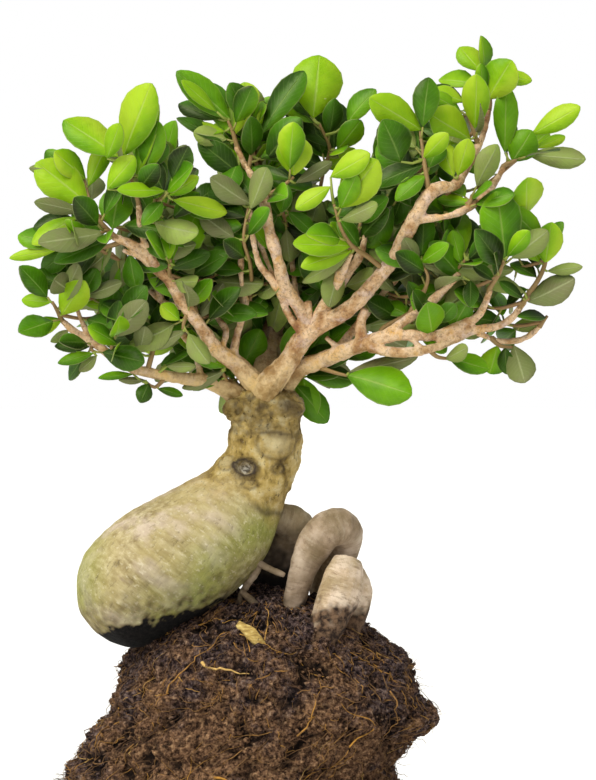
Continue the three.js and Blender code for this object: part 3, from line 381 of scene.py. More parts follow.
def mesh_piece(name, verts, faces):
    """A piece whose vertices are given in mm, measured from the tree's base."""
    mesh = bpy.data.meshes.new(name)
    placed = (np.asarray(verts, float) + (0, 0, TREE_BASE)) * MM
    mesh.from_pydata(placed.tolist(), [], faces)
    mesh.update()
    piece = bpy.data.objects.new(name, mesh)
    bpy.context.scene.collection.objects.link(piece)
    return piece


def tubes(name, lines, step, sides=12):
    """Round bars along smooth lines through [x, y, z, radius] points, as one mesh piece."""
    curve = bpy.data.curves.new(name, "CURVE")
    curve.dimensions = "3D"
    curve.bevel_depth = MM
    curve.bevel_resolution = max(0, sides // 4 - 1)
    curve.use_fill_caps = True
    for points in lines:
        path = smooth_line(points, step)
        spline = curve.splines.new("POLY")
        spline.points.add(len(path) - 1)
        for point, (x, y, z, radius) in zip(spline.points, path):
            point.co = (x * MM, y * MM, (z + TREE_BASE) * MM, 1)
            point.radius = radius
    piece = bpy.data.objects.new(name, curve)
    bpy.context.scene.collection.objects.link(piece)
    only(piece)
    bpy.ops.object.convert(target="MESH")
    return bpy.context.view_layer.objects.active


def fuse(piece, grain, rounds=4):
    """Melts overlapping bars into one skin with faces about `grain` mm across."""
    skin = piece.modifiers.new("skin", "REMESH")
    skin.mode = "VOXEL"
    skin.voxel_size = grain * MM
    soften = piece.modifiers.new("soften", "SMOOTH")
    soften.factor = 0.5
    soften.iterations = rounds
    finish_modifiers(piece)


def points_and_normals(piece):
    """The piece's vertices in mm, measured from the tree's base, and their normals."""
    mesh = piece.data
    co, normals = np.empty(len(mesh.vertices) * 3), np.empty(len(mesh.vertices) * 3)
    mesh.vertices.foreach_get("co", co)
    mesh.vertex_normals.foreach_get("vector", normals)
    return co.reshape(-1, 3) / MM - (0, 0, TREE_BASE), normals.reshape(-1, 3)


def push_out(piece, lift):
    """Moves each vertex along its normal by its own lift, in mm."""
    points, normals = points_and_normals(piece)
    moved = points + normals * np.asarray(lift)[:, None] + (0, 0, TREE_BASE)
    piece.data.vertices.foreach_set("co", (moved * MM).ravel())
    piece.data.update()


def swell(piece, height):
    """Moves each vertex along its normal by height(x, y, z) mm, all measured in mm from the tree's base."""
    points, _ = points_and_normals(piece)
    push_out(piece, [height(*p) for p in points.tolist()])


def lumps(x, y, z, size, seed=0):
    """Soft noise from -1 to 1 whose bumps are about `size` mm across."""
    return noise.noise(Vector((x / size + seed * 17.3, y / size - seed * 5.1, z / size + seed * 3.7)))


def point_colour(piece, name, values):
    """Stores four numbers at each vertex for the material to read."""
    layer = piece.data.color_attributes.new(name, "FLOAT_COLOR", "POINT")
    layer.data.foreach_set("color", np.asarray(values, float).ravel())


def smooth_step(low, high, value):
    t = min(1, max(0, (value - low) / (high - low)))
    return t * t * (3 - 2 * t)


def placed(piece, slot_name, node, *materials):
    """Gives the piece its materials and smooth shading; it rides the tree's body and stands for its plain node."""
    piece.data.materials.clear()
    for material in materials:
        piece.data.materials.append(material)
    only(piece)
    bpy.ops.object.shade_smooth()
    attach(piece, "root")
    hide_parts(node)


# ---------------------------------------------------------------- tools for materials
def start_material(name):
    material = bpy.data.materials.new(name)
    material.use_nodes = True
    material.node_tree.nodes.clear()
    return material, material.node_tree


def add(tree, kind, inputs=(), **settings):
    """Adds a node. Inputs are {socket: value or another node's output}."""
    made = tree.nodes.new(kind)
    for key, value in settings.items():
        setattr(made, key, value)
    for key, value in dict(inputs).items():
        if isinstance(value, bpy.types.NodeSocket):
            tree.links.new(value, made.inputs[key])
        else:
            made.inputs[key].default_value = linear(value) if isinstance(value, str) else value
    return made


def finished(material, shader):
    add(material.node_tree, "ShaderNodeOutputMaterial", {"Surface": shader})
    return material


def skin(tree, colour, roughness, normal=None, ior=1.45, shine=0.5, tint="#ffffff"):
    """The outer skin of a thing: its colour, roughness, relief and how strongly it mirrors."""
    sockets = {"Base Color": colour, "Roughness": roughness, "IOR": ior, "Specular IOR Level": shine}
    if normal:
        sockets["Normal"] = normal
    return add(tree, "ShaderNodeBsdfPrincipled", {**sockets, "Specular Tint": tint}).outputs[0]


def ramp(tree, factor, *stops):
    """A colour ramp with (position, hex colour or grey) stops."""
    made = add(tree, "ShaderNodeValToRGB", {0: factor})
    elements = made.color_ramp.elements
    while len(elements) < len(stops):
        elements.new(0.5)
    for element, (position, colour) in zip(elements, stops):
        element.position = position
        element.color = linear(colour) if isinstance(colour, str) else (colour, colour, colour, 1)
    return made.outputs[0]


def mix(tree, factor, a, b, blend="MIX"):
    """Mixes two colours; a and b are sockets or hex colours."""
    return add(tree, "ShaderNodeMix", {0: factor, 6: a, 7: b}, data_type="RGBA", blend_type=blend).outputs[2]


def stain(tree, colour, where, start, end, over):
    """Lays `over` on the colour. `where` sets how strongly, by two stops of (value, share)."""
    return mix(tree, ramp(tree, where, start, end), colour, over)


def maths(tree, operation, a, b=0.0, clamp=False):
    return add(tree, "ShaderNodeMath", {0: a, 1: b}, operation=operation, use_clamp=clamp).outputs[0]


def times(tree, a, b):
    return maths(tree, "MULTIPLY", a, b)


def plus(tree, a, b):
    return maths(tree, "ADD", a, b)


def minus(tree, a, b, clamp=False):
    return maths(tree, "SUBTRACT", a, b, clamp)


def span(tree, value, low, high, start, end):
    """Turns low to high into start to end, and stops at both."""
    return add(tree, "ShaderNodeMapRange", {0: value, 1: low, 2: high, 3: start, 4: end}).outputs[0]


def stored(tree, name):
    """The red, green and blue of the colour stored at the piece's vertices under this name."""
    colour = add(tree, "ShaderNodeAttribute", attribute_name=name).outputs[0]
    return add(tree, "ShaderNodeSeparateColor", {0: colour}).outputs


def own_place(tree):
    return add(tree, "ShaderNodeTexCoord").outputs["Object"]


def split(tree, vector):
    return add(tree, "ShaderNodeSeparateXYZ", {0: vector}).outputs


def spots(tree, size_mm, detail=3, rough=0.55, vector=None, squash=None):
    """Cloudy noise whose spots are about size_mm across, in the object's own coordinates."""
    place = vector or own_place(tree)
    if squash:
        place = add(tree, "ShaderNodeMapping", {"Vector": place, "Scale": squash}).outputs[0]
    noise_sockets = {"Vector": place, "Scale": 1 / (size_mm * MM), "Detail": detail, "Roughness": rough}
    return add(tree, "ShaderNodeTexNoise", noise_sockets).outputs[0]


def bump(tree, height, depth_mm, strength=1.0, under=None):
    made = add(tree, "ShaderNodeBump", {"Height": height, "Distance": depth_mm * MM, "Strength": strength})
    if under:
        tree.links.new(under, made.inputs["Normal"])
    return made.outputs[0]


# ---------------------------------------------------------------- materials
SIDE_VEIN_PACE = 62.0  # radians of the side veins' wave over the length of a leaf: about ten pairs
SIDE_VEIN_SLANT = 0.55


def blade(tree, vein_sharpness):
    """What both faces of a leaf are drawn from: its tone and own number, the place on it, and its side veins."""
    tone, own, _ = stored(tree, "leaf")
    sideways, along, _ = split(tree, add(tree, "ShaderNodeUVMap", uv_map="blade").outputs[0])
    off_middle = minus(tree, sideways, 0.5)
    across = maths(tree, "ABSOLUTE", off_middle)
    slanted = minus(tree, along, times(tree, across, SIDE_VEIN_SLANT))
    wave = maths(tree, "SINE", times(tree, slanted, SIDE_VEIN_PACE))
    veins = maths(tree, "POWER", maths(tree, "MAXIMUM", wave, 0.0), vein_sharpness)
    return tone, own, off_middle, across, along, veins


def lit_through(tree, leaf_skin, glow, normal, tone, gain):
    """Lets light through the leaf, the more so the younger it is."""
    through = add(tree, "ShaderNodeBsdfTranslucent", {"Color": glow, "Normal": normal}).outputs[0]
    share = plus(tree, times(tree, tone, gain), 0.12)
    return add(tree, "ShaderNodeMixShader", {0: share, 1: leaf_skin, 2: through}).outputs[0]


def waxy_leaf_top():
    """Upper face of a fig leaf: a waxy skin over green flesh, glossy, lit through where it is young."""
    material, tree = start_material("waxy_leaf_top")
    tone, own, off_middle, across, along, veins = blade(tree, 10.0)
    mottle = spots(tree, 11)
    shade = plus(tree, tone, times(tree, minus(tree, mottle, 0.5), 0.3))
    # Each leaf is paler towards its tip or its base, and one half is painted paler than the other, a painted
    # highlight as if that half caught more light.
    leaning = times(tree, minus(tree, own, 0.35), minus(tree, along, 0.5))
    painted_light_half = times(tree, off_middle, minus(tree, own, 0.5))
    shade = plus(tree, shade, plus(tree, times(tree, leaning, 0.45), painted_light_half))
    green = ramp(
        tree, shade, (0.0, "#142408"), (0.2, "#2d510c"), (0.42, "#518b10"), (0.64, "#7dba13"), (0.84, "#a9da1c"),
        (1.0, "#cdee38"),
    )
    # The midrib is a pale line that thins towards the tip; side veins leave it at a slant.
    rib_width = plus(tree, times(tree, minus(tree, 1.0, along), 0.045), 0.018)
    rib = minus(tree, 1.0, maths(tree, "DIVIDE", across, rib_width), clamp=True)
    rib_colour = mix(tree, tone, "#6f9440", "#d8ec7c")
    rib_share = plus(tree, times(tree, tone, 0.4), 0.35)
    colour = mix(tree, times(tree, veins, 0.07), green, "#b9d877")
    colour = mix(tree, times(tree, rib, rib_share), colour, rib_colour)
    # A pale rim along the edges: partly the leaf's own paler margin, partly a painted highlight.
    colour = stain(tree, colour, across, (0.455, 0.0), (0.5, 0.55), rib_colour)
    normal = bump(tree, plus(tree, times(tree, rib, -1.0), times(tree, veins, -0.3)), 0.3, 0.7)
    normal = bump(tree, spots(tree, 4, detail=2), 0.15, 0.5, under=normal)
    gloss = plus(tree, times(tree, mottle, 0.2), 0.26)
    waxy = skin(tree, colour, gloss, normal, tint="#f4f2cc")
    return finished(material, lit_through(tree, waxy, mix(tree, 0.5, colour, "#b4e018"), normal, tone, 0.32))


def matt_leaf_back():
    """Underside of a fig leaf: paler, greyer and matt, with the veins standing proud."""
    material, tree = start_material("matt_leaf_back")
    tone, _, _, across, _, veins = blade(tree, 8.0)
    shade = plus(tree, tone, times(tree, minus(tree, spots(tree, 7), 0.5), 0.2))
    olive = ramp(tree, shade, (0.0, "#68703f"), (0.4, "#8a9457"), (0.75, "#a3b45a"), (1.0, "#bcd065"))
    rib = minus(tree, 1.0, maths(tree, "DIVIDE", across, 0.055), clamp=True)
    colour = stain(tree, olive, spots(tree, 14), (0.45, 0.0), (0.65, 0.45), "#8b7f62")
    colour = mix(tree, times(tree, veins, 0.1), colour, "#c6cf9c")
    colour = mix(tree, times(tree, rib, 0.6), colour, "#c9d09a")
    normal = bump(tree, plus(tree, rib, times(tree, veins, 0.3)), 0.5, 0.8)
    matt = skin(tree, colour, 0.5, normal, ior=1.42, shine=0.4)
    return finished(material, lit_through(tree, matt, mix(tree, 0.5, colour, "#9cc72a"), normal, tone, 0.25))


def green_shoot():
    """Young shoot and leaf stalk: yellow-green at the tip, turning to tan bark further down."""
    material, tree = start_material("green_shoot")
    _, _, youth = stored(tree, "leaf")
    colour = ramp(tree, youth, (0.0, "#a07850"), (0.45, "#a58a54"), (0.7, "#9fae4a"), (1.0, "#b4cf55"))
    colour = mix(tree, times(tree, spots(tree, 2.0), 0.5), colour, "#6f5a38", "MULTIPLY")
    return finished(material, skin(tree, colour, 0.55, bump(tree, spots(tree, 1.2), 0.25, 0.6)))


def thin_limb_bark():
    """Thin fig bark on the limbs: pinkish tan with ochre patches and small raised breathing dots."""
    material, tree = start_material("thin_limb_bark")
    place = own_place(tree)
    _, depth, height = split(tree, place)
    patches = spots(tree, 14, detail=6, rough=0.62, vector=place)
    colour = ramp(tree, patches, (0.3, "#8f6039"), (0.42, "#bc9364"), (0.54, "#e4c49e"), (0.68, "#d09e52"))
    # Pale rosy patches: partly the bark's own tint, partly a painted highlight.
    rosy = spots(tree, 9, detail=4, rough=0.6, vector=place)
    colour = stain(tree, colour, rosy, (0.54, 0.0), (0.66, 0.6), "#dcc4b6")
    fine = spots(tree, 2.2, detail=4, rough=0.7, vector=place)
    colour = stain(tree, colour, fine, (0.35, 0.55), (0.5, 0.0), "#5d4130")
    dots = add(tree, "ShaderNodeTexVoronoi", {"Vector": place, "Scale": 1 / (3.4 * MM), "Randomness": 1.0})
    dot = ramp(tree, dots.outputs["Distance"], (0.12, 1.0), (0.26, 0.0))
    colour = mix(tree, times(tree, dot, 0.35), colour, "#d2b592")
    # Painted shade: the bark is darkened towards the back, inside and behind the crown, where shade falls.
    colour = mix(tree, span(tree, depth, -12 * MM, 22 * MM, 0.0, 0.6), colour, "#54391f")
    # Near the trunk it turns ochre like the trunk's own bark.
    collar = span(tree, height, (TREE_BASE + 298) * MM, (TREE_BASE + 258) * MM, 0.0, 0.8)
    ochre = mix(tree, ramp(tree, patches, (0.4, 0.0), (0.6, 1.0)), "#8d7340", "#cfb57a")
    colour = mix(tree, collar, colour, ochre)
    normal = bump(tree, plus(tree, times(tree, dot, 0.5), fine), 0.7, 0.8)
    return finished(material, skin(tree, colour, 0.62, normal, shine=0.35))


def swollen_root_bark():
    """Bark of the swollen root and trunk: thin and pale on the swelling, rough and olive brown on the neck.
    The vertex colour "bark" says how rough (red), how stained with earth and painted shade underneath (green) and
    how mossy (blue);
    "scar" says how dark, how pale and how grey a healed scar is; its dark also carries the painted shade of
    creases round the neck."""
    material, tree = start_material("swollen_root_bark")
    rough, earth, moss = stored(tree, "bark")
    dark_scar_and_crease_shade, pale_scar, grey_scar = stored(tree, "scar")
    place = own_place(tree)
    # The skin is drawn out along the swelling, which leans this much.
    lean = add(tree, "ShaderNodeMapping", {"Vector": place, "Rotation": (0, math.radians(-38), 0)}).outputs[0]
    grain = spots(tree, 5, detail=6, rough=0.65, vector=lean, squash=(0.22, 1, 1))
    crease = spots(tree, 2.6, detail=5, rough=0.7, vector=lean, squash=(1, 1, 0.3))
    patch = spots(tree, 30, detail=4, vector=place)
    rosy = spots(tree, 20, detail=4, vector=lean, squash=(0.35, 1, 1))
    light = spots(tree, 2.2, rough=0.6, vector=lean, squash=(0.6, 1, 1))
    pale = ramp(tree, grain, (0.32, "#7d6c46"), (0.44, "#9b8a63"), (0.56, "#b6a77f"), (0.7, "#d2c5a4"))
    pale = stain(tree, pale, patch, (0.42, 0.0), (0.62, 0.55), "#b3a26c")
    pale = stain(tree, pale, rosy, (0.5, 0.0), (0.64, 0.6), "#cfbcae")
    pale = mix(tree, times(tree, moss, 0.75), pale, mix(tree, crease, "#65741f", "#a3ac48"))
    pale = stain(tree, pale, crease, (0.3, 0.55), (0.43, 0.0), "#544a30")
    pale = stain(tree, pale, light, (0.58, 0.0), (0.7, 0.5), "#d9cfb0")
    knots = spots(tree, 11, detail=5, rough=0.6, vector=place)
    cracks = spots(tree, 3.2, detail=5, rough=0.75, vector=place, squash=(1, 1, 0.7))
    brown = ramp(tree, knots, (0.3, "#665029"), (0.41, "#a38948"), (0.53, "#c9ad66"), (0.66, "#e0cf9c"))
    brown = stain(tree, brown, cracks, (0.34, 0.85), (0.43, 0.0), "#3b2d1c")
    brown = stain(tree, brown, cracks, (0.56, 0.0), (0.68, 0.5), "#dccba0")
    colour = mix(tree, rough, pale, brown)
    # Earth clings to it, crumbly at the edge and near black where it lies thick low on the underside; that black
    # is partly earth and partly painted shade.
    grit = ramp(tree, spots(tree, 2.4, detail=5, rough=0.75, vector=place), (0.4, 0.0), (0.65, 1.0))
    crumbling = mix(tree, grit, "#1f150e", "#6b533c")
    damp = mix(tree, grit, "#050506", "#1f1c1a")
    colour = mix(tree, earth, colour, stain(tree, crumbling, earth, (0.7, 0.0), (1.0, 1.0), damp))
    colour = mix(tree, pale_scar, colour, mix(tree, cracks, "#b09a66", "#dccfa6"))
    # Dark scars, and the painted shadows of the creases round the neck.
    colour = mix(tree, dark_scar_and_crease_shade, colour, mix(tree, cracks, "#0e0a08", "#514339"))
    healed = mix(tree, ramp(tree, light, (0.4, 0.0), (0.6, 1.0)), "#4f4840", "#cfc9bb")
    colour = mix(tree, grey_scar, colour, healed)
    normal = bump(tree, plus(tree, times(tree, grain, 0.6), crease), 1.0, 0.75)
    coarse = spots(tree, 4.5, detail=6, rough=0.75, vector=place)
    normal = bump(tree, times(tree, coarse, rough), 3.0, 0.9, under=normal)
    return finished(material, skin(tree, colour, plus(tree, times(tree, earth, 0.25), 0.68), normal, shine=0.22))


def thick_root_skin():
    """Skin of the thick bare roots: pale pinkish tan, finely wrinkled across, rougher and olive where it is old.
    The vertex colour "course" runs along each root; "bark" says how rough it is, how stained with earth
    and how dark, which is partly the root's own darker skin and partly painted shade low on the back and looped
    roots."""
    material, tree = start_material("thick_root_skin")
    rough, earth, dark_skin_and_shade = stored(tree, "bark")
    place = own_place(tree)
    along = add(tree, "ShaderNodeAttribute", attribute_name="course").outputs["Vector"]
    rings = spots(tree, 1.7, detail=4, rough=0.6, vector=along, squash=(1, 0.16, 0.16))
    folds = spots(tree, 7, vector=along, squash=(1, 0.4, 0.4))
    cloud = spots(tree, 16, detail=5, vector=place)
    fleck = spots(tree, 1.8, detail=4, rough=0.7, vector=place)
    colour = ramp(tree, cloud, (0.32, "#a8916f"), (0.45, "#c0a98c"), (0.57, "#d6c1aa"), (0.7, "#e0d0b8"))
    colour = stain(tree, colour, rings, (0.34, 0.6), (0.47, 0.0), "#7c664c")
    colour = stain(tree, colour, rings, (0.55, 0.0), (0.68, 0.4), "#ecdcc6")
    colour = stain(tree, colour, folds, (0.33, 0.5), (0.45, 0.0), "#866f50")
    colour = stain(tree, colour, fleck, (0.62, 0.0), (0.7, 0.5), "#efe4d2")
    colour = mix(tree, times(tree, rough, 0.85), colour, mix(tree, rings, "#55472c", "#a39668"))
    # Darker, browner skin: partly the root's own, partly painted shade.
    brown = mix(tree, ramp(tree, cloud, (0.35, 0.0), (0.65, 1.0)), "#5f4e3f", "#a18b78")
    colour = mix(tree, times(tree, dark_skin_and_shade, 0.8), colour, brown)
    grit = ramp(tree, spots(tree, 3.5, detail=4, vector=place), (0.38, 0.0), (0.62, 1.0))
    clinging = mix(tree, grit, "#2e2018", "#80644c")
    # Where the skin is darkened, the clinging earth is painted near black as shade at the root's foot.
    colour = mix(tree, earth, colour, mix(tree, dark_skin_and_shade, clinging, "#14100d"))
    normal = bump(tree, plus(tree, rings, times(tree, folds, 1.2)), 0.9, 0.8)
    crumbs = spots(tree, 3, detail=5, rough=0.75, vector=place)
    normal = bump(tree, times(tree, crumbs, earth), 2.5, 1.0, under=normal)
    return finished(material, skin(tree, colour, 0.72, normal, shine=0.25))


def damp_potting_earth():
    """Peaty potting earth: purplish black where damp, warm brown on dried crumbs, with a few pale bits."""
    material, tree = start_material("damp_potting_earth")
    place = own_place(tree)
    sideways, _, height = split(tree, place)
    coarse = spots(tree, 22, detail=5, rough=0.7, vector=place)
    crumb = spots(tree, 3.2, detail=4, rough=0.75, vector=place)
    fine = spots(tree, 1.1, detail=4, rough=0.8, vector=place)
    damp = ramp(tree, crumb, (0.36, "#080506"), (0.46, "#2b2123"), (0.56, "#5b4a48"), (0.68, "#917e72"))
    dried = ramp(tree, crumb, (0.36, "#1d130b"), (0.46, "#5a4130"), (0.56, "#906c4e"), (0.68, "#bf9a70"))
    # It has dried brown further down and stayed damp on top and at both ends.
    down = span(tree, height, (TREE_BASE + 121) * MM, (TREE_BASE + 26) * MM, -0.15, 0.1)
    off_middle = maths(tree, "ABSOLUTE", minus(tree, sideways, 10 * MM))
    ends = span(tree, off_middle, 60 * MM, 110 * MM, 0.03, -0.12)
    dryness = plus(tree, coarse, plus(tree, down, ends))
    colour = stain(tree, damp, dryness, (0.42, 0.0), (0.58, 0.9), dried)
    colour = stain(tree, colour, fine, (0.6, 0.0), (0.7, 0.75), "#bfa27a")
    # Painted shade: the pits between the clods, where shade falls, are painted nearly black.
    hollow = add(tree, "ShaderNodeAttribute", attribute_name="hollow").outputs["Fac"]
    colour = mix(tree, times(tree, hollow, 0.92), colour, "#0a0708")
    normal = bump(tree, plus(tree, crumb, times(tree, fine, 0.5)), 2.2, 1.0)
    return finished(material, skin(tree, colour, 0.9, normal, ior=1.4, shine=0.15))


def fine_root_skin():
    """Fine roots in the earth: tan to orange-brown skin, duller where earth clings."""
    material, tree = start_material("fine_root_skin")
    shade, _, _ = stored(tree, "fibre")
    colour = ramp(
        tree, shade, (0.0, "#3f2b1e"), (0.4, "#705138"), (0.65, "#966f42"), (0.85, "#c08a36"), (1.0, "#dcb46a")
    )
    colour = stain(tree, colour, spots(tree, 4), (0.42, 0.0), (0.6, 0.5), "#3a2718")
    return finished(material, skin(tree, colour, 0.75, ior=1.4))


def dry_bark_chip():
    """A dry chip of conifer bark: straw yellow with long darker fibres."""
    material, tree = start_material("dry_bark_chip")
    fibres = spots(tree, 2.5, detail=5, squash=(0.5, 1, 1.6))
    colour = ramp(tree, fibres, (0.3, "#7b6230"), (0.5, "#b7984f"), (0.7, "#d9c47e"))
    return finished(material, skin(tree, colour, 0.8, bump(tree, fibres, 0.8, 0.8), ior=1.5))


def unglazed_stoneware():
    """Unglazed stoneware: iron-brown fired clay, finely gritty, a little worn and paler on the edges."""
    material, tree = start_material("unglazed_stoneware")
    place = own_place(tree)
    cloud = spots(tree, 40, detail=5, vector=place)
    grit = spots(tree, 1.1, rough=0.8, vector=place)
    rings = spots(tree, 3.0, vector=place, squash=(0.03, 0.03, 1))
    colour = ramp(tree, cloud, (0.3, "#3f2c22"), (0.5, "#553c2e"), (0.7, "#6b4e3c"))
    colour = stain(tree, colour, grit, (0.6, 0.0), (0.72, 0.55), "#94765c")
    colour = stain(tree, colour, rings, (0.35, 0.35), (0.5, 0.0), "#2d1f18")
    worn = add(tree, "ShaderNodeNewGeometry").outputs["Pointiness"]
    colour = stain(tree, colour, worn, (0.52, 0.0), (0.58, 0.5), "#a08064")
    normal = bump(tree, grit, 0.25, 0.8, under=bump(tree, rings, 0.5, 0.5))
    return finished(material, skin(tree, colour, 0.7, normal, ior=1.5, shine=0.4))


# ---------------------------------------------------------------- leaves and shoots
ALONG = 9  # steps from leaf base to tip
ACROSS = 2  # steps from edge to edge


def leaf_half_width(t, belly):
    """Half the width over the widest half-width, at t from base 0 to tip 1; `belly` is where it is widest."""
    if t < belly:
        return math.sin(math.pi / 2 * t / belly) ** 0.88
    return max(0.0, math.cos(math.pi / 2 * (t - belly) / (1 - belly))) ** 0.6


def leaf_form(belly, fold, droop, curl):
    """One leaf of length and width 1 as two facing skins joined at the rim.

    Returns vertices, faces, UVs, which faces are underside, and where the second skin's vertices start."""
    verts, faces, uvs, under = [], [], [], []
    row = ACROSS + 1
    for _ in (0, 1):
        for i in range(ALONG + 1):
            t = 0.5 - 0.5 * math.cos(math.pi * i / ALONG)
            half = 0.5 * max(0.035, leaf_half_width(t, belly))
            for j in range(row):
                u = 2 * j / ACROSS - 1
                dip = -droop * (t - 0.25) ** 2 + 0.03 * math.sin(7 * t + 2 * u)
                verts.append((t, u * half, dip + fold * abs(u) * half * 2 - curl * u * u * half))
                uvs.append(((u + 1) / 2, t))
    second = row * (ALONG + 1)
    for i in range(ALONG):
        for j in range(ACROSS):
            a, b, c, d = i * row + j, (i + 1) * row + j, (i + 1) * row + j + 1, i * row + j + 1
            faces.append((a, b, c, d))
            under.append(False)
            faces.append((second + d, second + c, second + b, second + a))
            under.append(True)
    rim = [i * row for i in range(ALONG + 1)]
    rim += [ALONG * row + j for j in range(1, row)]
    rim += [i * row + ACROSS for i in range(ALONG - 1, -1, -1)]
    rim += range(ACROSS - 1, 0, -1)
    for a, b in zip(rim, rim[1:] + rim[:1]):
        faces.append((b, a, second + a, second + b))
        under.append(True)
    return np.array(verts), faces, uvs, under, second


LEAF_FORMS = [
    leaf_form(0.54, 0.14, 0.32, 0.10),
    leaf_form(0.64, 0.10, 0.46, 0.18),
    leaf_form(0.58, 0.22, 0.20, 0.06),
    leaf_form(0.50, 0.30, 0.55, 0.05),
]
LEAF_NEAR_FLAT = leaf_form(0.6, 0.10, 0.16, 0.08)


class Shoot:
    """Gathers the vertices and faces of one spray before it becomes a piece."""

    def __init__(self):
        self.verts, self.faces, self.colours, self.uvs, self.material = [], [], [], [], []
        self.count = 0

    def put(self, verts, faces, colour, uvs, materials):
        self.verts.append(np.asarray(verts))
        self.faces += [tuple(v + self.count for v in f) for f in faces]
        self.colours += [colour] * len(verts)
        self.uvs += uvs
        self.material += materials
        self.count += len(verts)

    def stalk(self, points, radii, green):
        """A thin round stalk with five sides through the points; `green` is 1 on the youngest."""
        verts, faces = thin_tube(points, radii, 5, (0.31, 0.87, 0.38))
        self.put(verts, faces, (0, 0.5, green, 1), [(0.5, 0.5)] * len(verts), [0] * len(faces))

    def leaf(self, base, tip, width, face, tone, seed, flat=False):
        """A leaf from base to tip, its upper face turned as nearly as it can along `face`."""
        along = tip - base
        length = np.linalg.norm(along)
        along = along / length
        up = face - along * np.dot(face, along)
        up /= np.linalg.norm(up)
        across = np.cross(up, along)
        verts, faces, uvs, under, second = LEAF_NEAR_FLAT if flat else LEAF_FORMS[int(4 * chance(seed + 0.7)) % 4]
        breadth = length * width
        lean = 0.08 * (chance(seed + 0.3) - 0.5) * length
        arc = verts[:, 0] * (1 - verts[:, 0]) * lean
        shaped = (
            base
            + np.outer(verts[:, 0] * length, along)
            + np.outer(verts[:, 1] * breadth + arc, across)
            + np.outer(verts[:, 2] * (0.35 * breadth + 0.12 * length), up)
        )
        rise = np.where(np.arange(len(verts)) < second, 0.5, -0.5) * LEAF_THICKNESS
        shaped = shaped + np.outer(rise, up)
        shift = shaped[0] - base
        shades = (tone, chance(seed + 0.9), 0, 1)
        self.put(shaped - 0.2 * shift, faces, shades, uvs, [2 if u else 1 for u in under])

    def piece(self, name):
        made = mesh_piece(name, np.vstack(self.verts), self.faces)
        point_colour(made, "leaf", self.colours)
        layer = made.data.uv_layers.new(name="blade")
        corners = np.empty(len(made.data.loops), int)
        made.data.loops.foreach_get("vertex_index", corners)
        layer.data.foreach_set("uv", np.asarray(self.uvs)[corners].ravel())
        return made


# How light each kind of leaf is, from the darkest green at 0 to lime at 1.
TONE_OF = {0: 0.24, 1: 0.56, 2: 0.88, 3: 0.35, 4: 0.65}
YOUNG, FIRST_UNDERSIDE = 2, 3  # kinds: young leaves lie nearly flat, and from 3 on the underside shows
# A leaf that leans towards or away from the front is longer and wider than it is seen.
LEAF_LONGER, LEAF_WIDER = 1.04, 1.06


def front_leaf(shoot, line, leaf, seed, behind=0):
    """A leaf whose base and tip are given as seen from the front, with its stalk from the nearest stem point.

    `behind` moves it that far towards the back, in mm."""
    base_x, base_z, tip_x, tip_z, width, kind = leaf
    nearest = line[np.argmin(np.hypot(line[:, 0] - base_x, line[:, 2] - base_z))]
    tip = np.array([tip_x, nearest[1] + LEAF_DEPTH_SPREAD * (chance(seed) - 0.6) + behind, tip_z])
    reach = math.hypot(nearest[0] - base_x, nearest[2] - base_z)
    rest = math.hypot(tip_x - base_x, tip_z - base_z)
    base = np.array([base_x, nearest[1] + (tip[1] - nearest[1]) * reach / (reach + rest), base_z])
    tip = base + (tip - base) * LEAF_LONGER
    if reach > 1.5:
        middle = (nearest + base) / 2 + np.array([0, 0, -0.12 * reach])
        shoot.stalk([nearest, middle, base], [1.3, 0.9, 0.75], 0.75)
    face = np.array([0.9 * (chance(seed + 0.5) - 0.5), -1, LEAF_TILT_BACK * (0.3 + 1.3 * chance(seed + 0.6))])
    if kind >= FIRST_UNDERSIDE:
        face = -face
    tone = TONE_OF[kind] + 0.24 * (chance(seed + 0.15) - 0.5)
    shoot.leaf(base, tip, width * LEAF_WIDER, face, tone, seed, flat=kind == YOUNG)


def inner_leaf(shoot, line, k, count, seed, young):
    """A leaf set by rule: the leaves wind round the stem at the golden angle."""
    first = 0.06 if young < 0 else 0.22
    t = first + (1 - first) * (k + 0.5) / count
    at = t * (len(line) - 1)
    i = min(int(at), len(line) - 2)
    root = line[i] + (line[i + 1] - line[i]) * (at - i)
    stem = line[i + 1] - line[i]
    stem /= np.linalg.norm(stem)
    side = np.cross((0, 0, 1), stem)
    side /= np.linalg.norm(side) + 1e-9
    over = np.cross(stem, side)
    turn = k * GOLDEN_ANGLE + 6 * chance(seed)
    spread = 1.3 - 0.7 * t + 0.5 * (chance(seed + k + 0.6) - 0.5)
    length = INNER_LEAF_LENGTH * (0.75 + 0.4 * chance(seed + k + 0.25))
    aside = side * math.cos(turn) + over * math.sin(turn)
    way = stem * math.cos(spread) + aside * math.sin(spread)
    way[2] += 0.15
    way /= np.linalg.norm(way)
    base = root + way * length * 0.2
    shoot.stalk([root, root + way * length * 0.1 + (0, 0, -0.4), base], [1.1, 0.8, 0.7], 0.6)
    tip = root + way * length
    towards = -1 if tip[1] < 35 else 0.8
    sideways = tip[0] / 300 + 0.8 * (chance(seed + k + 0.4) - 0.5)
    face = np.array([sideways, towards, 0.25 + 0.7 * chance(seed + k + 0.8)])
    tone = (0.24 if young < 0 else 0.15) + (0.2 + 0.45 * abs(young)) * chance(seed + k * 1.7)
    if chance(seed + k * 2.3) > 0.8:  # some show their underside
        face, tone = -face, tone + 0.25
    shoot.leaf(base, tip, 0.54 + 0.1 * chance(seed + k), face, tone, seed + k)


CROWN_MIDDLE = (40, 45, 352)
TWIG_LEAVES = 9
TWIG_REACH = 58  # the longest twig, in mm
TWIG_FROM = 300  # height above which the front shoots send a twig inwards
SHADE_DEPTH = 26  # how far behind the front leaves the shaded ones lie


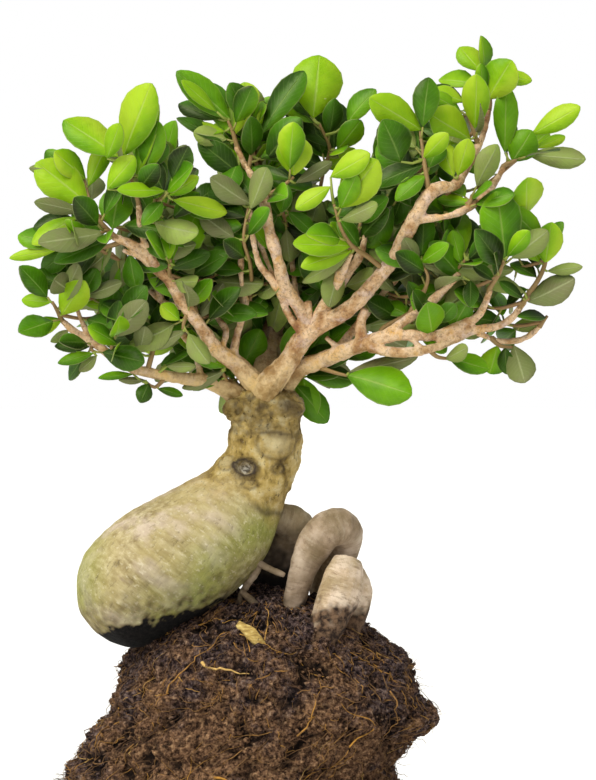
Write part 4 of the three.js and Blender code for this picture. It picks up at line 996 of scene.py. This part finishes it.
def twig_inward(shoot, line, seed):
    """A twig from the middle of the stem towards the inside of the crown, with leaves wound round it."""
    root = line[len(line) // 2]
    way = np.array(CROWN_MIDDLE) - root
    way = way * min(1, TWIG_REACH / np.linalg.norm(way))
    sag = np.array([0, 0, 4 + 6 * chance(seed)])
    twig = smooth_line([root, root + way / 3 - sag, root + way * 2 / 3 - sag, root + way], 4)
    shoot.stalk(twig, np.linspace(1.5, 0.7, len(twig)), 0.2)
    for k in range(TWIG_LEAVES):
        inner_leaf(shoot, twig, k, TWIG_LEAVES, seed, 0.35)


# Leaves in the shade behind the limbs that close the gaps of the crown, written as in SPRAYS.
SHADED_LEAVES = {
    "right_middle_spray": [
        [150, 350, 128, 368, 0.55, 4], [146, 346, 152, 374, 0.5, 0], [140, 342, 112, 360, 0.5, 3],
        [152, 352, 170, 372, 0.55, 1], [148, 352, 140, 382, 0.5, 1],
    ],
    "long_leaf_spray": [
        [116, 348, 96, 366, 0.55, 1], [120, 350, 122, 378, 0.5, 0], [112, 346, 88, 352, 0.5, 4],
        [118, 342, 98, 338, 0.5, 0],
    ],
    "right_branch_spray": [
        [148, 384, 134, 372, 0.6, 0], [153, 388, 166, 376, 0.5, 0], [150, 386, 128, 380, 0.5, 1],
    ],
    "right_stub_spray": [
        [116, 404, 92, 424, 0.6, 0], [112, 400, 100, 372, 0.5, 0], [118, 414, 96, 440, 0.55, 0],
    ],
    "right_outer_spray": [[196, 336, 180, 346, 0.55, 0], [190, 328, 176, 318, 0.5, 0]],
    "top_left_spray": [[-70, 398, -58, 378, 0.55, 0], [-74, 396, -84, 374, 0.5, 0]],
    "left_inner_spray": [
        [-56, 380, -76, 366, 0.55, 0], [-52, 384, -66, 362, 0.5, 3], [-50, 376, -44, 356, 0.5, 0],
    ],
    "left_limb_spray": [
        [-48, 342, -72, 346, 0.5, 0], [-46, 338, -64, 330, 0.55, 0], [-42, 344, -28, 362, 0.5, 3],
    ],
    "upright_spray": [
        [2, 384, -18, 396, 0.6, 0], [4, 376, -14, 382, 0.55, 0], [6, 364, -20, 366, 0.5, 0],
        [8, 390, -4, 408, 0.55, 0], [6, 352, 26, 344, 0.5, 0],
    ],
    "inner_right_spray": [[80, 368, 98, 358, 0.5, 0], [76, 350, 96, 344, 0.5, 3], [72, 340, 90, 330, 0.5, 0]],
}


ON_LIMB, BESIDE_LIMB = 3, 14  # how near a limb's middle a stem starts on the limb, or beside it, in mm


def rooted(stem_points, limb_middles):
    """A stem that starts beside a limb is led back to the limb's middle, so that it grows out of it."""
    away = np.linalg.norm(limb_middles - stem_points[0], axis=1)
    away[away < ON_LIMB] = math.inf
    nearest = int(np.argmin(away))
    if away[nearest] < BESIDE_LIMB:
        return [list(limb_middles[nearest]), *stem_points]
    return stem_points


def grow_sprays(materials):
    limb_middles = np.vstack([smooth_line(points, 3)[:, :3] for lines in LIMBS.values() for points in lines])
    for number, (name, stem_points, leaves, ruled) in enumerate(SPRAYS):
        stem_points = rooted(stem_points, limb_middles)
        shoot = Shoot()
        line = smooth_line(stem_points, 3)
        radii = STEM_RADIUS * np.linspace(1.25, 0.6, len(line))
        shoot.stalk(line, radii, 0.35 if leaves else 0.1)
        for k, leaf in enumerate(leaves):
            front_leaf(shoot, line, leaf, number * 31 + k)
        for k, leaf in enumerate(SHADED_LEAVES.get(name, [])):
            front_leaf(shoot, line, leaf, number * 43 + k, behind=SHADE_DEPTH)
        if leaves and stem_points[-1][2] > TWIG_FROM:
            twig_inward(shoot, line, number * 71)
        # Shoots at the back carry only inner leaves; those at the front have a few behind their own.
        back = not leaves
        count = ruled * (BACK_LEAF_SHARE if back else FRONT_LEAF_SHARE)
        high = smooth_step(TWIG_FROM, 440, stem_points[-1][2])
        for k in range(count):
            inner_leaf(shoot, line, k, count, number * 57, (-1 if back else 1) * (0.35 + 0.65 * high))
        made = shoot.piece(name.replace("_spray", "_shoot"))
        placed(made, "leaves", name, *materials)
        made.data.polygons.foreach_set("material_index", shoot.material)


# ---------------------------------------------------------------- limbs
def limb_relief(x, y, z):
    """Knuckles, dents and fine ridges of thin bark, in mm."""
    return 0.8 * lumps(x, y, z, 13, 1) + 0.55 * lumps(x, y, z, 5, 2) + 0.2 * lumps(x, y, z, 2, 3)


def grow_limbs(bark):
    for name, lines in LIMBS.items():
        limb = tubes(name.replace("_limb", "_branch"), lines, 4)
        fuse(limb, 0.75, 3)
        swell(limb, limb_relief)
        placed(limb, "limb_bark", name, bark)


# ---------------------------------------------------------------- swollen root, trunk and roots
def trunk_relief(x, y, z):
    """Shallow swells on the root; knots, ridges and pits on the neck, in mm."""
    neck = smooth_step(190, 212, z + 0.45 * x)
    swells = 1.3 * lumps(x, y, z, 34, 4) + 0.35 * lumps(x, y, z, 9, 5)
    along = (x * 0.79 + z * 0.61) / 15
    wrinkles = 0.28 * noise.noise(Vector((along * 3.2, y / 26, (z * 0.79 - x * 0.61) / 30)))
    knots = 2.6 * lumps(x, y, z, 13, 6) + 1.3 * abs(lumps(x, y, z, 5, 7)) + 0.7 * lumps(x, y, z, 2.6, 8)
    # The top, broken and regrown, is craggier than the rest.
    knots += smooth_step(228, 240, z) * (1.8 * lumps(x, y, z, 7, 29) - 2.2 * abs(lumps(x, y, z, 4, 30)))
    return (1 - neck) * (swells + wrinkles) + neck * knots


# Healed pruning scars and swellings of the neck: centre, radius, height of the lip, depth of the middle (mm),
# how dark the lip and the middle are, and how pale and how grey the middle is.
SCARS = [
    ((4, -22, 209), 8.5, 3.0, 3.0, 1.0, 0.0, 0.0, 1.0),
    ((-3, -19, 248), 9, 2.8, 4.4, 0.45, 0.95, 0.0, 0.0),
    ((35, -16, 253), 11, 1.6, -1.5, 0.7, 0.75, 0.0, 0.0),
    ((25, -22, 226), 12, 1.2, -1.6, 0.15, 0.0, 0.7, 0.0),
    ((25, -20, 209), 4.5, 1.2, 1.4, 0.7, 0.5, 0.0, 0.0),
    ((13, -23, 240), 7, 1.2, 1.8, 0.6, 0.5, 0.0, 0.0),
    ((-9, -20, 213), 6, 1.0, -1.2, 0.1, 0.0, 0.8, 0.0),
    ((6, -22, 199), 6, 1.0, -1.2, 0.1, 0.0, 0.7, 0.0),
    ((33, -24, 251), 23, 0.0, 0.0, 0.4, 0.85, 0.0, 0.0),
    ((-80, -46, 148), 2.2, 0.2, 1.0, 0.2, 0.95, 0.0, 0.0),
    ((-76, -47, 145), 1.8, 0.2, 0.9, 0.2, 0.95, 0.0, 0.0),
    ((-67, -49, 143), 1.8, 0.2, 0.7, 0.2, 0.8, 0.0, 0.0),
    ((-71, -51, 136), 1.7, 0.2, 0.6, 0.2, 0.8, 0.0, 0.0),
]


def callus(piece, shades, centre, radius, lip, pit, lip_dark, middle_dark, middle_pale, middle_grey):
    """A healed pruning scar: a raised oval lip round a sunken (or swollen) middle, with its own shades."""
    points, _ = points_and_normals(piece)
    away = np.linalg.norm((points - centre) * (1, 0.7, 1.25), axis=1) / radius
    ring = np.exp(-(((away - 0.85) / 0.22) ** 2))
    middle = np.exp(-((away / 0.5) ** 2))
    push_out(piece, lip * ring - pit * middle)
    outside = np.exp(-(((away - 1.12) / 0.16) ** 2))
    dark = np.maximum(np.maximum(lip_dark * ring, middle_dark * middle), 0.5 * outside)
    pale = middle_pale * np.exp(-((away / 0.75) ** 4))
    grey = middle_grey * np.exp(-((away / 0.6) ** 4))
    shades[:, :3] = np.maximum(shades[:, :3], np.column_stack([dark, pale, grey]))


def grow_trunk(bark):
    lines = [SWOLLEN_ROOT_AND_TRUNK, *STUBS]
    trunk = tubes("swollen_root_and_neck", lines, 4, sides=40)
    fuse(trunk, 1.25, 8)
    swell(trunk, trunk_relief)
    scars = np.zeros((len(trunk.data.vertices), 4))
    for scar in SCARS:
        callus(trunk, scars, *scar)
    points, normals = points_and_normals(trunk)
    shades = []
    for i, ((x, y, z), (_, _, up)) in enumerate(zip(points.tolist(), normals.tolist())):
        # Painted shade: a dark line round the neck under its broken top stands for the shadow of a crease there,
        # and a fainter one under the scar.
        waver = 2.5 * lumps(x, y, z, 12, 27)
        crease = 0.85 * math.exp(-(((z - 233 - waver) / 2.2) ** 2)) * (0.6 + 0.7 * lumps(x, y, z, 6, 28))
        fold = 0.6 * math.exp(-(((z - 187 + 0.35 * x - waver) / 2.6) ** 2)) * smooth_step(2, 14, x)
        broken = smooth_step(230, 241, z) * (0.3 + 0.9 * lumps(x, y, z, 6, 31) + 0.5 * lumps(x, y, z, 2.5, 32))
        scars[i, 0] = max(scars[i, 0], crease, fold, min(0.75, broken))
        # The rough bark reaches further down on the right, where the neck runs into the swelling.
        rough = smooth_step(186, 212, z + 8 * lumps(x, y, z, 16, 9) + 1.1 * max(0, x))
        # Dark earth clings to the underside, with a brown stain above it; both are partly painted shade, reaching
        # higher on the right and stronger where the surface faces down.
        under = z + 6 * lumps(x, y, z, 11, 10) + 4 * lumps(x, y, z, 3.2, 19) - 0.25 * x - 29
        dark = 1 - smooth_step(90, 99, under)
        brown = (1 - smooth_step(98, 138, under)) * (0.42 + 0.6 * lumps(x, y, z, 5, 11)) * (0.75 - 0.5 * up)
        earth = min(1.0, dark + max(0, brown))
        lower = math.exp(-(((-0.62 * x + 0.78 * z - 118) / 22) ** 2))
        moss = lower * (0.75 + 0.5 * lumps(x, y, z, 24, 12)) * smooth_step(-130, -60, x)
        moss += 0.75 * smooth_step(-78, -108, x) * smooth_step(100, 125, z)
        shades.append((rough, earth, min(1, max(0, moss)), 1))
    point_colour(trunk, "bark", shades)
    point_colour(trunk, "scar", scars)
    placed(trunk, "root_bark", "swollen_root_and_trunk", bark)


def root_relief(x, y, z):
    """Long swells and soft dents of a thick root, in mm."""
    return 1.2 * lumps(x, y, z, 18, 13) + 0.5 * lumps(x, y, z, 6, 14)


# Heights between which the earth on each root ends, and how rough its skin is.
EARTHED = {"back_root": (135, 172), "looped_root": (110, 122), "front_root": (110, 124), "rootlet": (104, 140)}
ROUGHNESS_OF = {"back_root": 0.6, "rootlet": 0.5, "front_root": 0.0, "looped_root": 0.3}


def dark_skin_and_shade_of(name, z):
    """How dark and brown the skin of a root is at height z, from 0 to 1: painted shade down the back root's lower
    part; on the looped root its own darker skin with painted shade growing towards its foot; the rootlets darker
    throughout.
    """
    if name == "back_root":
        return smooth_step(178, 150, z)
    if name == "looped_root":
        return 0.55 + 0.4 * smooth_step(158, 116, z)
    return 0.7 if name == "rootlet" else 0.0


def course(piece, lines):
    """Stores at each vertex how far along its root it lies and where it is across it, in m, for the wrinkles."""
    points, _ = points_and_normals(piece)
    paths = [smooth_line(line, 1.5)[:, :3] for line in lines]
    nodes = np.vstack(paths)
    reach = np.concatenate([np.insert(np.cumsum(np.linalg.norm(np.diff(p, axis=0), axis=1)), 0, 0) for p in paths])
    found = np.zeros((len(points), 4))
    for i, p in enumerate(points):
        nearest = int(np.argmin(((nodes - p) ** 2).sum(1)))
        lean = 3 * lumps(*p, 14, 17)
        found[i] = ((reach[nearest] + lean) * MM, *((p - nodes[nearest])[:2] * MM), 1)
    point_colour(piece, "course", found)


def grow_roots(bark):
    for name, lines in {**{n: [points] for n, points in ROOTS.items()}, "rootlet": ROOTLETS}.items():
        if name == "front_root":
            lines = [*lines, FRONT_ROOT_LOBE]
        root = tubes(name + "_grown", lines, 4, sides=24)
        fuse(root, 1.0 if name != "rootlet" else 0.6, 4)
        swell(root, root_relief if name != "rootlet" else limb_relief)
        low, high = EARTHED[name]
        shades = []
        for x, y, z in points_and_normals(root)[0].tolist():
            earth = 1 - smooth_step(low, high, z + 9 * lumps(x, y, z, 9, 15) + 6 * lumps(x, y, z, 3.5, 18))
            rough = min(1, max(0, ROUGHNESS_OF[name] + 0.5 * lumps(x, y, z, 12, 16)))
            shades.append((rough, earth, dark_skin_and_shade_of(name, z), 1))
        point_colour(root, "bark", shades)
        course(root, lines)
        placed(root, "root_bark", name, bark)


# ---------------------------------------------------------------- earth
SHOULDER = 0.8  # share of the way up the root ball where it turns in to its top
BED_HALF = np.array([(POT_HIGH.x - POT_LOW.x) / 2, (POT_HIGH.y - POT_LOW.y) / 2]) / MM - POT_WALL
BED_LEVEL = -(TREE_BASE - RIM_ABOVE_FLOOR) - SOIL_BELOW_RIM
CRUMBS_ON_BALL, CRUMBS_ON_BED = 7800, 900
CRAWLING_ROOTS, STRAY_ROOTS, TUFT_ROOTS = 1300, 320, 90


def ball_section(z):
    """Middle, half-length and half-width of the root ball's oval section at height z."""
    heights = [r[0] for r in ROOT_BALL]
    left, right, half = (float(np.interp(z, heights, [r[i] for r in ROOT_BALL])) for i in (1, 2, 3))
    return (left + right) / 2, (right - left) / 2, half


def ball_point(angle, height):
    """A point on the smooth root ball; height runs from 0 at the pot to 1 at the top."""
    top = ROOT_BALL[-1][0]
    low = ROOT_BALL[0][0]
    if height < SHOULDER:
        z = low + (top - low) * height / SHOULDER
        middle, length, width = ball_section(z)
        shrink = 1.0
    else:
        inward = (height - SHOULDER) / (1 - SHOULDER)
        middle, length, width = ball_section(top)
        shrink = 1 - inward
        z = top + (ROOT_BALL_TOP[2] - top) * math.sin(inward * math.pi / 2)
    return middle + length * shrink * math.cos(angle), width * shrink * math.sin(angle), z


def outward(x, y, z, lift=0.0):
    """The direction out of the root ball at one of its points; `lift` turns it up."""
    middle, _, _ = ball_section(z)
    out = np.array([x - middle, y * 1.3, lift])
    return out / (np.linalg.norm(out) + 1e-6)


def earth_relief(x, y, z):
    """Clods, crumbs and pits of a root ball pulled from its old pot, in mm."""
    clods = 6.0 * lumps(x, y, z, 24, 20) + 5.0 * lumps(x, y, z, 10, 21)
    crumbs = 3.2 * abs(lumps(x, y, z, 5.0, 22)) + 1.6 * lumps(x, y, z, 2.6, 23)
    return clods + crumbs - 2.0


def build_root_ball():
    """The root ball: a mound of clods and pits that stands in the pot."""
    sides, rings = 420, 220
    verts = [ball_point(2 * math.pi * j / sides, (i + 0.001) / rings) for i in range(rings) for j in range(sides)]
    verts.append(ROOT_BALL_TOP)
    top = len(verts) - 1
    last = top - sides
    faces = ring_faces(rings, sides) + [(last + j, last + (j + 1) % sides, top) for j in range(sides)]
    ball = mesh_piece("root_ball", verts, faces)
    # How much painted shade darkens each pit between the clods.
    pit_shades = [smooth_step(-0.8, -5.5, earth_relief(*p)) for p in verts]
    swell(ball, earth_relief)
    point_colour(ball, "hollow", [(h, h, h, 1) for h in pit_shades])
    return ball


def build_pot_fill():
    """A loose level bed of earth inside the pot, closed underneath."""
    sides, rings = 200, 34
    inside, outside = 0.55, 0.985  # where the bed starts and ends, as shares of the pot's inner half-size
    turns = [2 * math.pi * j / sides for j in range(sides)]
    verts = []
    for reach in np.linspace(inside, 1, rings):
        edge = 1 - smooth_step(0.9, 1.0, reach)
        for angle in turns:
            x, y = BED_HALF * reach * outside * (math.cos(angle), math.sin(angle))
            rough = 2.2 * lumps(x, y, 0, 13, 24) + 1.4 * abs(lumps(x, y, 0, 4, 25)) + 0.7 * lumps(x, y, 0, 2, 26)
            verts.append((x, y, BED_LEVEL + edge * rough))
    # Below the bed the earth narrows with the pot.
    for reach, drop in ((0.9555, 22), (0.776, 58)):
        for angle in turns:
            x, y = BED_HALF * reach * (math.cos(angle), math.sin(angle))
            verts.append((x, y, BED_LEVEL - drop))
    faces = [(a, d, c, b) for a, b, c, d in ring_faces(rings + 2, sides)]
    faces.append(tuple(reversed(range(len(verts) - sides, len(verts)))))
    faces.append(tuple(reversed(range(sides))))
    return mesh_piece("pot_fill", verts, faces)


def scatter_crumbs(earth):
    """Loose crumbs sitting on the root ball and on the bed round it."""
    bpy.ops.mesh.primitive_ico_sphere_add(subdivisions=1, radius=1)
    grain = bpy.context.active_object
    form = np.array([v.co[:] for v in grain.data.vertices])
    grain_faces = [tuple(p.vertices) for p in grain.data.polygons]
    bpy.data.objects.remove(grain)
    rng = np.random.default_rng(7)
    verts, faces = [], []

    def crumb(at, size):
        stretch = rng.uniform(0.6, 1.3, 3)
        turn, _ = np.linalg.qr(rng.normal(size=(3, 3)))
        start = len(verts)
        rough = 1 + rng.uniform(-0.3, 0.3, (len(form), 1))
        verts.extend((form * rough * stretch * size) @ turn + at)
        faces.extend(tuple(v + start for v in f) for f in grain_faces)

    for _ in range(CRUMBS_ON_BALL):
        angle, height = rng.uniform(0, 2 * math.pi), rng.uniform(0, 1) ** 0.8
        at = ball_point(angle, height)
        out = outward(*at)
        if height > SHOULDER:
            out = out * (1 - height) * 3 + (0, 0, 1)
        crumb(at + out * (earth_relief(*at) + 0.2), rng.gamma(2.0, 0.32) + 0.5)
    for _ in range(CRUMBS_ON_BED):
        angle, reach = rng.uniform(0, 2 * math.pi), rng.uniform(0.66, 0.95)
        x, y = BED_HALF * reach * (math.cos(angle), math.sin(angle))
        crumb(np.array([x, y, BED_LEVEL + 0.6]), rng.gamma(2.0, 0.4) + 0.4)
    placed(mesh_piece("earth_crumbs", verts, faces), "soil", "soil", earth)


def spread_fine_roots(material):
    """Fine roots that wander over the root ball, dip into it and stick out here and there."""
    rng = np.random.default_rng(11)
    verts, faces, shades = [], [], []

    def fibre(points, radius, shade):
        """One root, which thins to a quarter of its radius."""
        radii = radius * np.linspace(1, 0.25, len(points))
        more, more_faces = thin_tube(points, radii, 4, (0.3, 0.5, 0.8))
        faces.extend(tuple(v + len(verts) for v in f) for f in more_faces)
        verts.extend(more)
        shades.extend([(shade, 0, 0, 1)] * len(more))

    def crawl(angle, height, turn, steps, stride, radius, shade, proud):
        """A root that wanders over the ball's surface, now above it and now below."""
        points = []
        for i in range(steps):
            at = ball_point(angle, min(0.98, max(0.0, height)))
            lift = earth_relief(*at) + proud + 1.6 * math.sin(i * 0.9 + 9 * shade)
            points.append(at + outward(*at, 25 * max(0, height - 0.6)) * lift)
            turn += rng.normal(0, 0.32)
            angle += stride * math.cos(turn) / 95
            height += stride * math.sin(turn) / 175
        fibre(points, radius, shade)

    def stray(at, out, steps, bend, sink, longest):
        """The points of a root that leaves the ball at `at` and sinks a little as it goes."""
        points = [np.array(at)]
        for _ in range(steps):
            out = out + rng.normal(0, bend, 3) + (0, 0, -sink)
            out /= np.linalg.norm(out)
            points.append(points[-1] + out * rng.uniform(1.2, longest))
        return points

    for _ in range(CRAWLING_ROOTS):
        crawl(
            rng.uniform(0, 2 * math.pi), rng.uniform(0.0, 1.0) ** 1.3 * 0.9, rng.uniform(0, 2 * math.pi),
            int(rng.integers(8, 26)), rng.uniform(1.6, 3.2), rng.uniform(0.14, 0.42), rng.beta(1.7, 2.0),
            rng.uniform(-0.6, 2.0),
        )
    for angle, height, turn, steps, shade, radius in BOLD_ROOTS:
        crawl(angle, height, turn, steps, 3.2, radius, shade, 2.2)
    for _ in range(STRAY_ROOTS):
        at = ball_point(rng.uniform(0, 2 * math.pi), rng.uniform(0.02, 0.62))
        out = outward(*at, rng.uniform(-40, 25))
        points = stray(at + out * earth_relief(*at) * 0.6, out, int(rng.integers(4, 9)), 0.35, 0.06, 2.4)
        fibre(points, rng.uniform(0.15, 0.32), rng.uniform(0.1, 0.8))
    # A loose tuft of fine roots hangs from the lower left of the ball.
    for _ in range(TUFT_ROOTS):
        at = ball_point(math.pi + rng.normal(0, 0.3), rng.uniform(0.02, 0.14))
        out = np.array([-1, rng.uniform(-0.7, 0.7), rng.uniform(-0.5, 0.5)])
        points = stray(at, out, int(rng.integers(6, 13)), 0.4, 0.05, 2.2)
        fibre(points, rng.uniform(0.2, 0.45), rng.uniform(0.1, 0.6))
    roots = mesh_piece("fine_roots", verts, faces)
    point_colour(roots, "fibre", shades)
    placed(roots, "root_bark", "soil", material)


def lay_bark_chip(material):
    """The pale bark chip on the front of the root ball: a bent, splintered flake."""
    nothing_selected()
    low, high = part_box("bark_chip")
    bpy.ops.mesh.primitive_cube_add(size=1, location=(0, 0, 0))
    chip = bpy.context.active_object
    chip.name = "dry_chip"
    bpy.ops.object.mode_set(mode="EDIT")
    bpy.ops.mesh.select_all(action="SELECT")
    bpy.ops.mesh.subdivide(number_cuts=11)
    bpy.ops.object.mode_set(mode="OBJECT")
    middle = (low + high) / 2
    length = (high - low).length * 0.92
    along = Vector((high.x - low.x, 0, low.z - high.z)).normalized()
    out = Vector((0, -0.8, 0.6))
    across = out.cross(along).normalized()
    out = along.cross(across).normalized()
    for v in chip.data.vertices:
        t, w, h = v.co
        taper = 1 - 0.55 * abs(2 * t) ** 3
        ragged = 0.16 * noise.noise(Vector((t * 9, w * 3, 1.7)))
        v.co = (
            middle
            + along * length * t * (1 + 0.3 * ragged)
            + across * 0.0075 * (w * taper + ragged)
            + out * (0.0026 * h * taper - 0.012 * t * t + 0.0008 * noise.noise(Vector((t * 14, w * 6, h * 2))))
        )
    placed(chip, "bark_chip", "bark_chip", material)


# ---------------------------------------------------------------- pot
DRAIN_HOLE_RADIUS = 8 * MM
DRAIN_HOLE_OUT = 62 * MM  # from the middle of the pot


def throw_pot(clay):
    """The oval pot: one profile spun round, pressed oval, its lips softened and two drain holes cut."""
    nothing_selected()
    radius = (POT_HIGH.x - POT_LOW.x) / 2
    oval = (POT_HIGH.y - POT_LOW.y) / (POT_HIGH.x - POT_LOW.x)
    foot = radius * 0.8
    rim = POT_HIGH.z
    inner = radius - POT_WALL * MM
    profile = [
        (0.0, 0.0), (foot - 0.001, 0.0), (foot, 0.001), (foot, 0.0055), (foot + 0.0055, 0.0078),
        (foot + 0.010, 0.013), (radius - 0.0065, rim - 0.016), (radius - 0.0056, rim - 0.0125),
        (radius - 0.001, rim - 0.0105), (radius, rim - 0.0095), (radius, rim - 0.0025),
        (radius - 0.0008, rim - 0.0008), (radius - 0.0025, rim), (inner + 0.0018, rim), (inner, rim - 0.0008),
        (inner - 0.001, rim - 0.0025),
        (foot - 0.008, 0.019), (foot - 0.013, 0.0135), (foot - 0.018, 0.012), (0.0, 0.012),
    ]
    mesh = bpy.data.meshes.new("stoneware_pot")
    mesh.from_pydata([(r, 0, z) for r, z in profile], [(i, i + 1) for i in range(len(profile) - 1)], [])
    pot = bpy.data.objects.new("stoneware_pot", mesh)
    bpy.context.scene.collection.objects.link(pot)
    only(pot)
    bpy.ops.object.mode_set(mode="EDIT")
    bpy.ops.mesh.select_all(action="SELECT")
    bpy.ops.mesh.spin(steps=128, angle=2 * math.pi, center=(0, 0, 0), axis=(0, 0, 1))
    bpy.ops.mesh.select_all(action="SELECT")
    bpy.ops.mesh.remove_doubles(threshold=0.00002)
    bpy.ops.mesh.normals_make_consistent(inside=False)
    bpy.ops.object.mode_set(mode="OBJECT")
    for v in pot.data.vertices:
        wobble = 0.0004 * noise.noise(Vector((v.co.x * 30, v.co.y * 30, v.co.z * 260)))
        out = Vector((v.co.x, v.co.y, 0))
        if out.length > foot * 0.9 and 0.008 < v.co.z < rim - 0.002:
            v.co += out.normalized() * wobble
        v.co.y *= oval
    for x in (-DRAIN_HOLE_OUT, DRAIN_HOLE_OUT):
        nothing_selected()
        bpy.ops.mesh.primitive_cylinder_add(vertices=40, radius=DRAIN_HOLE_RADIUS, depth=0.06, location=(x, 0, 0))
        drill = bpy.context.active_object
        cut = pot.modifiers.new("drain", "BOOLEAN")
        cut.operation = "DIFFERENCE"
        cut.object = drill
        finish_modifiers(pot)
        bpy.data.objects.remove(drill)
    placed(pot, "stoneware", "pot", clay)
    only(pot)
    bpy.ops.object.shade_smooth_by_angle(angle=math.radians(40))


# ---------------------------------------------------------------- studio
def lay_floor():
    nothing_selected()
    bpy.ops.mesh.primitive_plane_add(size=12, location=(0, 0, 0))
    floor = bpy.context.active_object
    floor.name = "studio_floor"
    paper, tree = start_material("white_paper_sweep")
    floor.data.materials.append(finished(paper, skin(tree, "#ffffff", 0.9, shine=0.0)))


ROOM_LIGHT = 0.5  # strength of the even light from all round
PANEL_LIGHT = 3.1  # strength of the large soft light


def light_studio():
    """A white room that lights weakly from all round, and one big soft light high on the left."""
    world = bpy.data.worlds.new("white_studio")
    bpy.context.scene.world = world
    world.use_nodes = True
    tree = world.node_tree
    tree.nodes.clear()
    seen = add(tree, "ShaderNodeBackground", {"Color": (1, 1, 1, 1), "Strength": 1.0})
    felt = add(tree, "ShaderNodeBackground", {"Color": (1, 1, 1, 1), "Strength": ROOM_LIGHT})
    eye = add(tree, "ShaderNodeLightPath").outputs["Is Camera Ray"]
    both = add(tree, "ShaderNodeMixShader", {0: eye, 1: felt.outputs[0], 2: seen.outputs[0]})
    add(tree, "ShaderNodeOutputWorld", {0: both.outputs[0]})
    sky = bpy.data.lights.new("soft_sky_panel", "SUN")
    sky.energy = PANEL_LIGHT
    sky.angle = math.radians(50)
    sky.color = linear("#fffdf4")[:3]
    holder = bpy.data.objects.new("soft_sky_panel", sky)
    holder.rotation_euler = Vector((0.62, 0.62, -1.05)).to_track_quat("-Z", "Y").to_euler()
    bpy.context.scene.collection.objects.link(holder)
    bpy.context.scene.view_settings.view_transform = "Standard"


def place_camera():
    """A long lens, nearly level with the middle of the tree."""
    view_height = 0.52
    distance = 3.0
    rise = math.radians(3)
    target = Vector((0.0387, 0, (TREE_BASE + 260) * MM))
    camera_data = bpy.data.cameras.new("camera")
    camera_data.sensor_width = 36
    camera_data.lens = 36 * distance / view_height
    camera_data.clip_end = 50
    camera = bpy.data.objects.new("camera", camera_data)
    camera.location = target + distance * Vector((0, -math.cos(rise), math.sin(rise)))
    camera.rotation_euler = (target - camera.location).to_track_quat("-Z", "Y").to_euler()
    bpy.context.scene.collection.objects.link(camera)
    bpy.context.scene.camera = camera


# ---------------------------------------------------------------- the whole tree
def build():
    place_camera()
    light_studio()
    lay_floor()
    nothing_selected()
    earth = damp_potting_earth()
    throw_pot(unglazed_stoneware())
    for piece in (build_root_ball(), build_pot_fill()):
        placed(piece, "soil", "soil", earth)
    scatter_crumbs(earth)
    spread_fine_roots(fine_root_skin())
    lay_bark_chip(dry_bark_chip())
    grow_trunk(swollen_root_bark())
    grow_roots(thick_root_skin())
    grow_limbs(thin_limb_bark())
    grow_sprays([green_shoot(), waxy_leaf_top(), matt_leaf_back()])


build()
